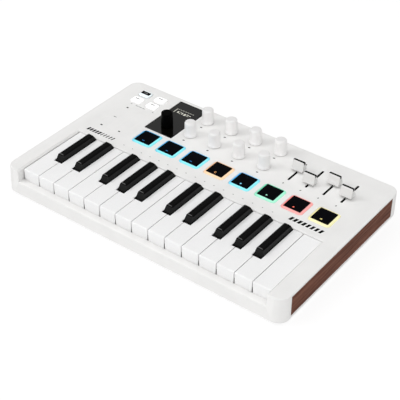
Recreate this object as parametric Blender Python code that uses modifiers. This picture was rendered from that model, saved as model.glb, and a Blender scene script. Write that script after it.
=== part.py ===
"""Two-octave MIDI keyboard with pads, encoders, faders and buttons, in metres, +Z up, front at -Y.

The instrument stands on its foot strips at Z = 0 with its plan centre at X = Y = 0.
Each named object is one closed body; neighbouring bodies keep a small clearance.
"""
import math

import bmesh
import bpy
from mathutils import Matrix, Vector

OBJECT_NAME = "midi_keyboard"

# Case.
CASE_WIDTH = 0.356
CASE_DEPTH = 0.220
CASE_FLOOR_Z = 0.0030
DECK_Z = 0.0320
CASE_CORNER_RADIUS = 0.012
CASE_CORNER_STEPS = 5
CASE_TOP_ROUNDING = 0.0018
FRONT_LEAN = 0.0020
DECK_THICKNESS = 0.0024
WALL = 0.0024
SIDE_WALL = 0.0060
CLEARANCE = 0.0004
OVERLAP = 0.0003
WELD_DISTANCE = 0.000001
UPRIGHT = 0.99

# Key well and the lowered front lip.
WELL_HALF_WIDTH = 0.1588
WELL_REAR_Y = -0.0115
WELL_FRONT_Y = -0.1010
LIP_Z = DECK_Z - 0.0144
LIP_THICKNESS = 0.0022
LIP_ROUNDING = 0.0014
CHEEK_WALL = 0.0020
WELL_CHAMFER = 0.0014

# Wood side panels.
PANEL_FRONT_Y = -0.095
PANEL_REAR_Y = 0.093
PANEL_TOP_Z = DECK_Z - 0.0020
PANEL_BOTTOM_Z = DECK_Z - 0.0255
PANEL_THICKNESS = 0.0032
PANEL_EDGE = 0.0005

# Keys.
WHITE_KEY_COUNT = 15
KEY_PITCH = 0.0211
KEY_GAP = 0.0006
KEYS_LEFT_X = -KEY_PITCH * WHITE_KEY_COUNT / 2
KEY_TOP_Z = DECK_Z - 0.00115
KEY_FRONT_Y = -0.1004
KEY_SKIRT_Z = DECK_Z - 0.0139
KEY_SKIRT_DEPTH = 0.0026
KEY_SOLE_Z = DECK_Z - 0.0094
KEY_STEP_Y = -0.0121
KEY_TAIL_Z = DECK_Z - 0.0050
KEY_FRONT_ROUNDING = 0.0013
KEY_ROOF = 0.0024
KEY_HOLLOW_HALF_WIDTH = 0.0078
KEY_HOLLOW_REAR_Y = -0.0708
PIVOT_Y = 0.0030
PIVOT_Z = DECK_Z - 0.0085
PIVOT_RADIUS = 0.0024
PIVOT_STEPS = 6

BLACK_HALF_WIDTH = 0.0049
BLACK_SHOULDER_HALF_WIDTH = 0.0040
BLACK_CREST_HALF_WIDTH = 0.0020
BLACK_SHOULDER_Z = DECK_Z + 0.0045
BLACK_CREST_Z = DECK_Z + 0.0057
BLACK_FRONT_Y = -0.0685
BLACK_NOSE_Y = -0.0618
BLACK_HEEL_Y = -0.0158
BLACK_NOSE_SLOPE = 65.0
BLACK_NOSE_FILLET = 0.0024
BLACK_NOSE_ROUNDING = 0.0012
BLACK_NOSE_LIP = 0.00015
BLACK_NOSE_STEPS = 2
BLACK_SLOT_HALF_WIDTH = 0.0055
BLACK_OFFSETS = {1: -0.0017, 2: 0.0028, 4: -0.0025, 5: 0.0008, 6: 0.0036}
NOTES_PER_OCTAVE = 7

# Key frame.
FRAME_HALF_WIDTH = 0.1570
FRAME_FRONT_Y = -0.0965
FRAME_BASE_Z = 0.0060
FRAME_PLATE = 0.0020
FRAME_POST_Z = DECK_Z - 0.0120
FRAME_POST_Y = -0.0910
FRAME_POST_SIZE = 0.0050
RIDGE_Y = -0.0460
RIDGE_DEPTH = 0.0080
RIDGE_Z = DECK_Z - 0.0142
RIDGE_SLOPE = 0.0015
TROUGH_LIP_DROP = 0.0008
TROUGH_LIP_WIDTH = 0.0016
TROUGH_HOOK = 0.0011

# Pads.
PAD_COUNT = 8
PAD_PITCH = 0.0327
PAD_FIRST_X = -0.08945
PAD_Y = 0.02185
PAD_TOP_SIZE = 0.0205
PAD_BODY_SIZE = 0.0252
PAD_FLANGE_SIZE = 0.0280
PAD_BODY_RADIUS = 0.0034
PAD_TOP_Z = DECK_Z + 0.0016
PAD_SHOULDER_Z = DECK_Z + 0.0004
PAD_FLANGE_Z = DECK_Z - 0.0030
PAD_SOLE_Z = DECK_Z - 0.0044

# Encoder knobs, two rows of four.
KNOB_COLUMNS = 4
KNOB_FIRST_X = -0.0560
KNOB_FRONT_ROW_Y = 0.0564
KNOB_ROW_PITCH = 0.0320
KNOB_BASE_Z = DECK_Z + 0.0006
KNOB_TOP_Z = DECK_Z + 0.0180
KNOB_RADIUS = 0.0066
KNOB_SKIRT_RADIUS = 0.0073
KNOB_CROWN_RADIUS = 0.0022
KNOB_FLARE_HEIGHT = 0.0030
KNOB_SKIRT_HEIGHT = 0.0008
SHAFT_RADIUS = 0.0030
SHAFT_END_Z = DECK_Z - 0.0072
SHAFT_HOLE_RADIUS = 0.0036
SHAFT_BORE_RADIUS = 0.0037
SHAFT_BORE_STEPS = 8
SHAFT_END_SPACE = 0.0010
TURNED_STEPS = 20
CROWN_STEPS = 2
KNOB_DRAFT = 0.0001
HOLE_STEPS = 16

# Display window and the main encoder standing on it.
WINDOW_X = -0.0882
WINDOW_Y = 0.0718
WINDOW_WIDTH = 0.0376
WINDOW_DEPTH = 0.0666
WINDOW_TOP_Z = DECK_Z + 0.0001
WINDOW_THICKNESS = 0.0013
WINDOW_RADIUS = 0.0010
WINDOW_LEDGE = 0.0022
MAIN_Y = 0.0555
MAIN_KNOB_RADIUS = 0.0069
MAIN_KNOB_TOP_RADIUS = 0.0065
MAIN_KNOB_CROWN_RADIUS = 0.0012
MAIN_KNOB_BASE_Z = DECK_Z + 0.0014
MAIN_KNOB_TOP_Z = DECK_Z + 0.0180
MAIN_SHAFT_TOP_Z = DECK_Z + 0.0128
MAIN_HOLE_RADIUS = 0.0038

# Faders.
FADER_COUNT = 4
FADER_FIRST_X = 0.0757
FADER_PITCH = 0.0215
FADER_REST_Y = (0.0729, 0.0608, 0.0747, 0.0646)
SLOT_FRONT_Y = 0.0526
SLOT_LENGTH = 0.0356
SLOT_WIDTH = 0.0020
CAP_WIDTH = 0.0138
CAP_BASE_DEPTH = 0.0092
CAP_TOP_DEPTH = 0.0026
CAP_BASE_Z = DECK_Z + 0.0026
CAP_TOP_Z = DECK_Z + 0.0130
CAP_EDGE = 0.0004
CAP_CROWN = 0.0008
CAP_FOOT_HEIGHT = 0.0020
CAP_FOOT_DRAFT = 0.0002
STEM_WIDTH = 0.0011
STEM_DEPTH = 0.0040
STEM_END_Z = DECK_Z - 0.0062

# Buttons.
BUTTON_NAMES = ("hold_button", "octave_up_button", "shift_button", "octave_down_button")
BUTTON_COLUMNS_X = (-0.1484, -0.1263)
BUTTON_ROWS_Y = (0.0763, 0.0914)
BUTTON_WIDTH = 0.0142
BUTTON_DEPTH = 0.0114
BUTTON_RADIUS = 0.0026
BUTTON_CORNER_STEPS = 3
BUTTON_EDGE = 0.0005
BUTTON_TOP_Z = DECK_Z + 0.0009
BUTTON_SOLE_Z = DECK_Z - 0.0042

# Touch strips sunk into the deck.
STRIP_COLUMNS_X = (-0.1475, -0.1240)
STRIP_Y = 0.0345
STRIP_WIDTH = 0.0130
STRIP_LENGTH = 0.0500
STRIP_SINK = 0.0003

# Main board with its switches, encoders, faders and rear sockets.
BOARD_TOP_Z = DECK_Z - 0.0090
BOARD_THICKNESS = 0.0016
BOARD_HALF_WIDTH = 0.1560
BOARD_FRONT_Y = 0.0110
BOARD_REAR_Y = 0.1040
ENCODER_SIZE = 0.0124
ENCODER_TOP_Z = DECK_Z - 0.0029
FADER_BODY_WIDTH = 0.0090
FADER_BODY_LENGTH = 0.0450
FADER_BODY_TOP_Z = DECK_Z - 0.0032
SENSOR_SIZE = 0.0180
SENSOR_TOP_Z = DECK_Z - 0.0062
SWITCH_SIZE = 0.0060
SWITCH_TOP_Z = DECK_Z - 0.0056
SCREEN_Y = 0.0860
SCREEN_WIDTH = 0.0290
SCREEN_DEPTH = 0.0170
SCREEN_TOP_Z = DECK_Z - 0.0020

# Rear sockets, seen from behind.
SOCKET_Z = 0.0155
SOCKET_FACE_Y = CASE_DEPTH / 2 - 0.0010
SOCKET_BOTTOM_Z = 0.0090
DIN_X = 0.0600
DIN_BLOCK_WIDTH = 0.0200
DIN_RADIUS = 0.0078
DIN_WELL_RADIUS = 0.0064
DIN_WELL_DEPTH = 0.0070
DIN_STEPS = 32
JACK_X = 0.0900
JACK_BLOCK_WIDTH = 0.0150
JACK_COLLAR_RADIUS = 0.0056
JACK_BORE_RADIUS = 0.0034
JACK_BORE_DEPTH = 0.0280
JACK_BLOCK_DEPTH = 0.0300
JACK_STEPS = 24
USB_X = 0.0300
USB_BLOCK_WIDTH = 0.0130
USB_WIDTH = 0.0088
USB_HEIGHT = 0.0030
USB_DEPTH = 0.0060
USB_SHELL = 0.0003
LOCK_X = 0.1300
LOCK_WIDTH = 0.0070
LOCK_HEIGHT = 0.0030

# Bottom cover and foot strips.
COVER_THICKNESS = 0.0022
COVER_RIM = 0.0016
COVER_RIM_Z = 0.0068
POST_RADIUS = 0.0032
POST_STEPS = 8
SCREW_RADIUS = 0.0034
SCREW_DEPTH = 0.0012
SCREW_STEPS = 10
SCREW_HALF_SPAN_X = 0.1560
SCREW_ROWS_Y = (-0.0960, 0.0080, 0.0960)
FOOT_LENGTH = 0.2700
FOOT_DEPTH = 0.0120
FOOT_ROWS = {"foot_strip_front": -0.0800, "foot_strip_rear": 0.0800}
FOOT_TOP_Z = 0.0037
FOOT_RECESS_Z = 0.0040
FOOT_RADIUS = 0.0050
FOOT_TREAD_EDGE = 0.0006

# Colours.
CASE_WHITE = (0.80, 0.795, 0.78)
KEY_WHITE = (0.85, 0.85, 0.84)
KNOB_WHITE = (0.78, 0.78, 0.77)
BUTTON_WHITE = (0.92, 0.92, 0.91)
BLACK_GLOSS = (0.012, 0.012, 0.012)
PAD_BLACK = (0.010, 0.010, 0.011)
WINDOW_BLACK = (0.030, 0.028, 0.026)
KNOB_BLACK = (0.008, 0.008, 0.008)
WALNUT = (0.115, 0.035, 0.022)
FRAME_GREY = (0.045, 0.045, 0.048)
BOARD_GREEN = (0.010, 0.070, 0.035)
COVER_GREY = (0.62, 0.62, 0.61)
RUBBER_DARK = (0.020, 0.020, 0.020)
STEEL = (0.56, 0.56, 0.57)


def clear_scene():
    """Remove every object that the new scene came with."""
    for old in list(bpy.data.objects):
        bpy.data.objects.remove(old, do_unlink=True)


def make_collection(name):
    """Add a collection to the scene."""
    collection = bpy.data.collections.new(name)
    bpy.context.scene.collection.children.link(collection)
    return collection


clear_scene()
PARTS = make_collection(OBJECT_NAME)
CUTTERS = make_collection("cutters")


def make_material(name, colour, roughness, metallic=0.0):
    """One Principled material with a plain colour."""
    material = bpy.data.materials.new(name)
    material.use_nodes = True
    shader = material.node_tree.nodes["Principled BSDF"]
    shader.inputs["Base Color"].default_value = (*colour, 1.0)
    shader.inputs["Roughness"].default_value = roughness
    shader.inputs["Metallic"].default_value = metallic
    return material


def make_object(name, bm, collection):
    """Turn a bmesh into an object of a collection."""
    bmesh.ops.recalc_face_normals(bm, faces=bm.faces)
    mesh = bpy.data.meshes.new(name)
    bm.to_mesh(mesh)
    bm.free()
    part = bpy.data.objects.new(name, mesh)
    collection.objects.link(part)
    return part


def make_part(name, bm, colour, roughness, metallic=0.0):
    """A visible sub-part with its own material."""
    part = make_object(name, bm, PARTS)
    part.data.materials.append(make_material(name + "_finish", colour, roughness, metallic))
    return part


def make_cutter(name, bm):
    """A hidden tool body for a Boolean."""
    cutter = make_object(name, bm, CUTTERS)
    cutter.hide_render = True
    cutter.display_type = "WIRE"
    return cutter


def apply_tool(part, cutter, operation="DIFFERENCE"):
    """Add an exact Boolean of a part with a hidden tool body."""
    boolean = part.modifiers.new(cutter.name, "BOOLEAN")
    boolean.operation = operation
    boolean.solver = "EXACT"
    boolean.object = cutter


def set_origin(part, point):
    """Put the origin of a part on a point without moving its surface."""
    part.data.transform(Matrix.Translation(-Vector(point)))
    part.location = point


def add_box(bm, low, high):
    """Add one box between two corners and return its vertices."""
    size = [high[axis] - low[axis] for axis in range(3)]
    middle = [(high[axis] + low[axis]) / 2 for axis in range(3)]
    placing = Matrix.Translation(middle) @ Matrix.Diagonal((*size, 1.0))
    return bmesh.ops.create_cube(bm, size=1.0, matrix=placing)["verts"]


def upright_edges(verts):
    """The edges of a box that run along Z."""
    edges = {edge for vert in verts for edge in vert.link_edges}
    return [edge for edge in edges if abs((edge.verts[0].co - edge.verts[1].co).normalized().z) > UPRIGHT]


def add_rounded_box(bm, low, high, radius, segments=2):
    """Add one box whose upright edges are rounded."""
    verts = add_box(bm, low, high)
    bmesh.ops.bevel(
        bm,
        geom=sorted(upright_edges(verts), key=lambda edge: edge.index),
        offset=radius,
        segments=segments,
        profile=0.5,
        affect="EDGES",
    )


def add_cylinder(bm, centre, radius, length, axis="Z", steps=HOLE_STEPS):
    """Add one cylinder centred on a point."""
    turn = {
        "X": Matrix.Rotation(math.pi / 2, 4, "Y"),
        "Y": Matrix.Rotation(math.pi / 2, 4, "X"),
        "Z": Matrix.Identity(4),
    }[axis]
    bmesh.ops.create_cone(
        bm,
        cap_ends=True,
        segments=steps,
        radius1=radius,
        radius2=radius,
        depth=length,
        matrix=Matrix.Translation(centre) @ turn,
    )


def outline_bmesh(points, depth, placing):
    """Extrude a flat closed outline by a depth and place it."""
    curve = bpy.data.curves.new("outline", "CURVE")
    curve.dimensions = "2D"
    curve.fill_mode = "BOTH"
    curve.extrude = depth / 2
    spline = curve.splines.new("POLY")
    spline.points.add(len(points) - 1)
    for point, (across, up) in zip(spline.points, points):
        point.co = (across, up, 0.0, 1.0)
    spline.use_cyclic_u = True
    holder = bpy.data.objects.new("outline", curve)
    CUTTERS.objects.link(holder)
    mesh = bpy.data.meshes.new_from_object(holder)
    bpy.data.objects.remove(holder, do_unlink=True)
    bm = bmesh.new()
    bm.from_mesh(mesh)
    bpy.data.meshes.remove(mesh)
    bmesh.ops.remove_doubles(bm, verts=bm.verts, dist=WELD_DISTANCE)
    bmesh.ops.transform(bm, matrix=placing, verts=bm.verts)
    return bm


# Turns a flat (y, z) outline so that its depth runs along X.
FACING_X = Matrix(((0, 0, 1, 0), (1, 0, 0, 0), (0, 1, 0, 0), (0, 0, 0, 1)))
# Turns a flat (x, z) outline so that its depth runs along Y.
FACING_Y = Matrix(((1, 0, 0, 0), (0, 0, -1, 0), (0, 1, 0, 0), (0, 0, 0, 1)))


def arc(centre, radius, start, end, steps):
    """Points of an arc between two angles in degrees."""
    points = []
    for step in range(steps + 1):
        angle = math.radians(start + (end - start) * step / steps)
        points.append((centre[0] + radius * math.cos(angle), centre[1] + radius * math.sin(angle)))
    return points


def turned_part(name, profile, centre, colour, roughness, metallic=0.0):
    """A turned body from a radius and height profile listed from top to bottom."""
    bm = bmesh.new()
    verts = [bm.verts.new((radius, 0.0, height - centre[2])) for radius, height in profile]
    for upper, lower in zip(verts, verts[1:]):
        bm.edges.new((upper, lower))
    part = make_part(name, bm, colour, roughness, metallic)
    part.location = centre
    screw = part.modifiers.new("turn", "SCREW")
    screw.axis = "Z"
    screw.steps = TURNED_STEPS
    screw.render_steps = TURNED_STEPS
    screw.use_merge_vertices = True
    screw.merge_threshold = WELD_DISTANCE * 10
    screw.use_smooth_shade = True
    part.modifiers.new("even_shading", "WEIGHTED_NORMAL")
    return part


def pad_x(index):
    """Centre of a pad along X."""
    return PAD_FIRST_X + PAD_PITCH * index


def knob_centres():
    """Plan centres of the small encoder knobs, front row first."""
    rows = (KNOB_FRONT_ROW_Y, KNOB_FRONT_ROW_Y + KNOB_ROW_PITCH)
    return [(KNOB_FIRST_X + PAD_PITCH * column, row) for row in rows for column in range(KNOB_COLUMNS)]


def fader_x(index):
    """Centre of a fader slot along X."""
    return FADER_FIRST_X + FADER_PITCH * index


def button_centres():
    """Plan centres of the buttons, front row first."""
    return [(x, y) for y in BUTTON_ROWS_Y for x in BUTTON_COLUMNS_X]


def black_key_centres():
    """Centres of the black keys along X."""
    centres = []
    for index in range(1, WHITE_KEY_COUNT):
        offset = BLACK_OFFSETS.get(index % NOTES_PER_OCTAVE)
        if offset is not None:
            centres.append(KEYS_LEFT_X + KEY_PITCH * index + offset)
    return centres


def lean_front(bm):
    """Lean the front wall back towards the deck."""
    for vert in bm.verts:
        if vert.co.y < 0.0:
            vert.co.y += FRONT_LEAN * (vert.co.z - CASE_FLOOR_Z) / (DECK_Z - CASE_FLOOR_Z)


def case_body():
    """Closed shell of the upper case with its cheeks and its front lip, before the openings."""
    half_width = CASE_WIDTH / 2
    half_depth = CASE_DEPTH / 2
    bm = bmesh.new()
    add_rounded_box(bm, (-half_width, -half_depth, CASE_FLOOR_Z), (half_width, half_depth, DECK_Z),
                    CASE_CORNER_RADIUS, segments=CASE_CORNER_STEPS)
    rim = [edge for edge in bm.edges if all(vert.co.z > DECK_Z - OVERLAP for vert in edge.verts)]
    bmesh.ops.bevel(bm, geom=rim, offset=CASE_TOP_ROUNDING, segments=2, profile=0.5, affect="EDGES")
    lean_front(bm)
    return bm


def case_hollow():
    """Space under the deck, with the cheek walls and the front lip left standing."""
    bm = bmesh.new()
    inner_x = CASE_WIDTH / 2 - SIDE_WALL
    inner_y = CASE_DEPTH / 2 - WALL
    roof = DECK_Z - DECK_THICKNESS
    add_rounded_box(bm, (-inner_x, -inner_y, CASE_FLOOR_Z - OVERLAP), (inner_x, inner_y, roof),
                    CASE_CORNER_RADIUS - SIDE_WALL, segments=2)
    lean_front(bm)
    return bm


def case_ribs():
    """Cheek walls beside the keys."""
    bm = bmesh.new()
    inner_y = CASE_DEPTH / 2 - WALL
    outer_x = WELL_HALF_WIDTH + CHEEK_WALL
    for side in (-1, 1):
        edges = sorted((side * WELL_HALF_WIDTH, side * outer_x))
        add_box(bm, (edges[0], -inner_y - OVERLAP, LIP_Z - LIP_THICKNESS * 2),
                (edges[1], WELL_REAR_Y, DECK_Z - OVERLAP * 2))
    return bm


def case_lip():
    """Ledge between the cheeks in front of the keys."""
    bm = bmesh.new()
    half = WELL_HALF_WIDTH + CHEEK_WALL / 2
    add_box(bm, (-half, -CASE_DEPTH / 2 + WALL, LIP_Z - LIP_THICKNESS),
            (half, WELL_FRONT_Y, LIP_Z + OVERLAP))
    return bm


def case_front_opening():
    """The well over the keys, open towards the front above the lip."""
    front = -CASE_DEPTH / 2
    wall_y = front + FRONT_LEAN * (LIP_Z - CASE_FLOOR_Z) / (DECK_Z - CASE_FLOOR_Z)
    rounding = arc((wall_y + LIP_ROUNDING, LIP_Z - LIP_ROUNDING), LIP_ROUNDING, 180.0, 90.0, 2)
    outline = [(front - WALL, LIP_Z - LIP_ROUNDING)] + rounding + [
        (WELL_FRONT_Y - OVERLAP, LIP_Z),
        (WELL_FRONT_Y - OVERLAP, LIP_Z - OVERLAP),
        (WELL_REAR_Y, LIP_Z - OVERLAP),
        (WELL_REAR_Y, DECK_Z + WALL),
        (front - WALL, DECK_Z + WALL),
    ]
    return outline_bmesh(outline, WELL_HALF_WIDTH * 2, FACING_X)


def case_well_chamfer():
    """Chamfer around the top edge of the well."""
    bm = bmesh.new()
    front = -CASE_DEPTH / 2 - WALL
    verts = add_box(bm, (-WELL_HALF_WIDTH, front, DECK_Z - WELL_CHAMFER),
                    (WELL_HALF_WIDTH, WELL_REAR_Y, DECK_Z))
    for vert in verts:
        if vert.co.z > DECK_Z - OVERLAP:
            vert.co.x += math.copysign(WELL_CHAMFER, vert.co.x)
            vert.co.y += WELL_CHAMFER if vert.co.y > front + OVERLAP else 0.0
            vert.co.z += OVERLAP
    return bm


def deck_openings():
    """Through openings of the deck for pads, shafts, fader stems, buttons and the window ledge."""
    low = DECK_Z - DECK_THICKNESS - WALL
    high = DECK_Z + WALL
    bm = bmesh.new()
    half = PAD_BODY_SIZE / 2 + CLEARANCE
    for index in range(PAD_COUNT):
        x = pad_x(index)
        add_rounded_box(bm, (x - half, PAD_Y - half, low), (x + half, PAD_Y + half, high),
                        PAD_BODY_RADIUS + CLEARANCE)
    for x, y in knob_centres():
        add_cylinder(bm, (x, y, DECK_Z), SHAFT_HOLE_RADIUS, high - low)
    for index in range(FADER_COUNT):
        x = fader_x(index)
        add_box(bm, (x - SLOT_WIDTH / 2, SLOT_FRONT_Y, low),
                (x + SLOT_WIDTH / 2, SLOT_FRONT_Y + SLOT_LENGTH, high))
    across = BUTTON_WIDTH / 2 + CLEARANCE
    along = BUTTON_DEPTH / 2 + CLEARANCE
    for x, y in button_centres():
        add_rounded_box(bm, (x - across, y - along, low), (x + across, y + along, high),
                        BUTTON_RADIUS + CLEARANCE)
    across = WINDOW_WIDTH / 2 - WINDOW_LEDGE
    along = WINDOW_DEPTH / 2 - WINDOW_LEDGE
    add_box(bm, (WINDOW_X - across, WINDOW_Y - along, low), (WINDOW_X + across, WINDOW_Y + along, high))
    return bm


def deck_recesses():
    """Shallow recesses of the deck for the display window and the touch strips."""
    bm = bmesh.new()
    across = WINDOW_WIDTH / 2 + CLEARANCE
    along = WINDOW_DEPTH / 2 + CLEARANCE
    floor = WINDOW_TOP_Z - WINDOW_THICKNESS - CLEARANCE
    add_rounded_box(bm, (WINDOW_X - across, WINDOW_Y - along, floor),
                    (WINDOW_X + across, WINDOW_Y + along, DECK_Z + WALL),
                    WINDOW_RADIUS + CLEARANCE, segments=1)
    for x in STRIP_COLUMNS_X:
        add_rounded_box(bm, (x - STRIP_WIDTH / 2, STRIP_Y - STRIP_LENGTH / 2, DECK_Z - STRIP_SINK),
                        (x + STRIP_WIDTH / 2, STRIP_Y + STRIP_LENGTH / 2, DECK_Z + WALL), BUTTON_RADIUS)
    return bm


def case_wall_openings():
    """Recesses for the side panels and the holes over the rear sockets."""
    bm = bmesh.new()
    half_width = CASE_WIDTH / 2
    rear = CASE_DEPTH / 2
    depth = PANEL_THICKNESS + CLEARANCE
    for side in (-1, 1):
        edges = sorted((side * (half_width - depth), side * (half_width + WALL)))
        add_box(bm, (edges[0], PANEL_FRONT_Y - CLEARANCE, PANEL_BOTTOM_Z - CLEARANCE),
                (edges[1], PANEL_REAR_Y + CLEARANCE, PANEL_TOP_Z + CLEARANCE))
    add_cylinder(bm, (DIN_X, rear, SOCKET_Z), DIN_RADIUS + CLEARANCE, WALL * 4, "Y", DIN_STEPS)
    add_cylinder(bm, (JACK_X, rear, SOCKET_Z), JACK_COLLAR_RADIUS + CLEARANCE, WALL * 4, "Y", JACK_STEPS)
    for x, width, height in ((USB_X, USB_WIDTH, USB_HEIGHT), (LOCK_X, LOCK_WIDTH, LOCK_HEIGHT)):
        grow = 2 * CLEARANCE if x == USB_X else 0.0
        add_box(bm, (x - width / 2 - grow, rear - WALL * 2, SOCKET_Z - height / 2 - grow),
                (x + width / 2 + grow, rear + WALL, SOCKET_Z + height / 2 + grow))
    return bm


def build_top_cover():
    """Upper case: deck, walls, cheeks and front lip in one moulding."""
    cover = make_part("top_cover", case_body(), CASE_WHITE, 0.42)
    apply_tool(cover, make_cutter("case_hollow", case_hollow()))
    apply_tool(cover, make_cutter("case_ribs", case_ribs()), "UNION")
    apply_tool(cover, make_cutter("case_lip", case_lip()), "UNION")
    apply_tool(cover, make_cutter("case_front_opening", case_front_opening()))
    apply_tool(cover, make_cutter("case_well_chamfer", case_well_chamfer()))
    apply_tool(cover, make_cutter("deck_openings", deck_openings()))
    apply_tool(cover, make_cutter("deck_recesses", deck_recesses()))
    apply_tool(cover, make_cutter("case_wall_openings", case_wall_openings()))


def build_side_panels():
    """Wood panels let into both side walls."""
    for name, side in (("side_panel_left", -1), ("side_panel_right", 1)):
        outer = side * CASE_WIDTH / 2
        edges = sorted((outer, outer - side * PANEL_THICKNESS))
        bm = bmesh.new()
        add_box(bm, (edges[0], PANEL_FRONT_Y, PANEL_BOTTOM_Z), (edges[1], PANEL_REAR_Y, PANEL_TOP_Z))
        face = [edge for edge in bm.edges if all(abs(vert.co.x - outer) < OVERLAP for vert in edge.verts)]
        bmesh.ops.bevel(bm, geom=face, offset=PANEL_EDGE, segments=1, profile=0.5, affect="EDGES")
        make_part(name, bm, WALNUT, 0.5)


def cover_plate():
    """Floor plate with an upright rim that locates inside the case walls."""
    inner_x = CASE_WIDTH / 2 - SIDE_WALL - CLEARANCE
    inner_y = CASE_DEPTH / 2 - WALL - CLEARANCE
    radius = CASE_CORNER_RADIUS - SIDE_WALL
    bm = bmesh.new()
    add_rounded_box(bm, (-inner_x, -inner_y, CASE_FLOOR_Z), (inner_x, inner_y, COVER_RIM_Z), radius)
    return bm


def cover_space():
    """Space inside the rim of the floor plate."""
    inner_x = CASE_WIDTH / 2 - SIDE_WALL - CLEARANCE - COVER_RIM
    inner_y = CASE_DEPTH / 2 - WALL - CLEARANCE - COVER_RIM
    bm = bmesh.new()
    add_rounded_box(bm, (-inner_x, -inner_y, CASE_FLOOR_Z + COVER_THICKNESS),
                    (inner_x, inner_y, COVER_RIM_Z + WALL), CASE_CORNER_RADIUS - SIDE_WALL - COVER_RIM)
    return bm


def build_bottom_cover():
    """Floor of the case with foot recesses, screw pockets and posts under the board."""
    cover = make_part("bottom_cover", cover_plate(), COVER_GREY, 0.55)
    apply_tool(cover, make_cutter("cover_space", cover_space()))
    posts = bmesh.new()
    post_top = BOARD_TOP_Z - BOARD_THICKNESS - CLEARANCE
    post_floor = CASE_FLOOR_Z + COVER_THICKNESS / 2
    for x in (-SCREW_HALF_SPAN_X / 2, SCREW_HALF_SPAN_X / 2):
        for y in (BOARD_FRONT_Y + FOOT_DEPTH, KNOB_FRONT_ROW_Y + KNOB_ROW_PITCH / 2):
            middle = (post_top + post_floor) / 2
            add_cylinder(posts, (x, y, middle), POST_RADIUS, post_top - post_floor, steps=POST_STEPS)
    apply_tool(cover, make_cutter("cover_posts", posts), "UNION")
    pockets = bmesh.new()
    for x in (-SCREW_HALF_SPAN_X, 0.0, SCREW_HALF_SPAN_X):
        for y in SCREW_ROWS_Y:
            add_cylinder(pockets, (x, y, CASE_FLOOR_Z), SCREW_RADIUS, SCREW_DEPTH * 2, steps=SCREW_STEPS)
    half_length = FOOT_LENGTH / 2 + CLEARANCE
    half_depth = FOOT_DEPTH / 2 + CLEARANCE
    for y in FOOT_ROWS.values():
        add_rounded_box(pockets, (-half_length, y - half_depth, CASE_FLOOR_Z - SCREW_DEPTH),
                        (half_length, y + half_depth, FOOT_RECESS_Z), FOOT_RADIUS + CLEARANCE)
    apply_tool(cover, make_cutter("cover_pockets", pockets))


def build_foot_strips():
    """Rubber strips that the instrument stands on."""
    for name, y in FOOT_ROWS.items():
        bm = bmesh.new()
        add_rounded_box(bm, (-FOOT_LENGTH / 2, y - FOOT_DEPTH / 2, 0.0),
                        (FOOT_LENGTH / 2, y + FOOT_DEPTH / 2, FOOT_TOP_Z), FOOT_RADIUS)
        tread = [edge for edge in bm.edges if all(vert.co.z < OVERLAP for vert in edge.verts)]
        bmesh.ops.bevel(bm, geom=tread, offset=FOOT_TREAD_EDGE, segments=1, profile=0.5, affect="EDGES")
        make_part(name, bm, RUBBER_DARK, 0.85)


def pivot_barrel():
    """Round end of a key in the (y, z) plane, from its top to its underside."""
    return arc((PIVOT_Y, PIVOT_Z), PIVOT_RADIUS, 90.0, -90.0, PIVOT_STEPS)


def white_key_outline():
    """Side outline of a white key in the (y, z) plane."""
    nose = arc((KEY_FRONT_Y + KEY_FRONT_ROUNDING, KEY_TOP_Z - KEY_FRONT_ROUNDING), KEY_FRONT_ROUNDING,
               180.0, 90.0, 3)
    skirt_rear = KEY_FRONT_Y + KEY_SKIRT_DEPTH
    outline = [(KEY_FRONT_Y, KEY_SKIRT_Z)] + nose
    outline += [(KEY_STEP_Y, KEY_TOP_Z), (KEY_STEP_Y, KEY_TAIL_Z)]
    outline += pivot_barrel()
    outline += [(PIVOT_Y - PIVOT_RADIUS, PIVOT_Z - PIVOT_RADIUS / 2), (PIVOT_Y - PIVOT_RADIUS, KEY_SOLE_Z)]
    outline += [(skirt_rear, KEY_SOLE_Z), (skirt_rear, KEY_SKIRT_Z)]
    return outline


def build_white_keys():
    """White keys, each with its front skirt, its slots beside the black keys and its pivot barrel."""
    slots = bmesh.new()
    for x in black_key_centres():
        add_box(slots, (x - BLACK_SLOT_HALF_WIDTH, BLACK_FRONT_Y - KEY_GAP, PIVOT_Z - WALL * 2),
                (x + BLACK_SLOT_HALF_WIDTH, PIVOT_Y + WALL * 2, DECK_Z))
    slots = make_cutter("black_key_slots", slots)
    hollows = bmesh.new()
    for index in range(WHITE_KEY_COUNT):
        x = KEYS_LEFT_X + KEY_PITCH * (index + 0.5)
        add_box(hollows, (x - KEY_HOLLOW_HALF_WIDTH, KEY_FRONT_Y + KEY_SKIRT_DEPTH, KEY_SKIRT_Z - WALL),
                (x + KEY_HOLLOW_HALF_WIDTH, KEY_HOLLOW_REAR_Y, KEY_TOP_Z - KEY_ROOF))
    hollows = make_cutter("key_hollows", hollows)
    for index in range(WHITE_KEY_COUNT):
        x = KEYS_LEFT_X + KEY_PITCH * (index + 0.5)
        placing = Matrix.Translation((x, 0.0, 0.0)) @ FACING_X
        bm = outline_bmesh(white_key_outline(), KEY_PITCH - KEY_GAP, placing)
        key = make_part(f"white_key_{index + 1:02d}", bm, KEY_WHITE, 0.28)
        set_origin(key, (x, PIVOT_Y, PIVOT_Z))
        if any(abs(x - black) < KEY_PITCH for black in black_key_centres()):
            apply_tool(key, slots)
        apply_tool(key, hollows)


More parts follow.
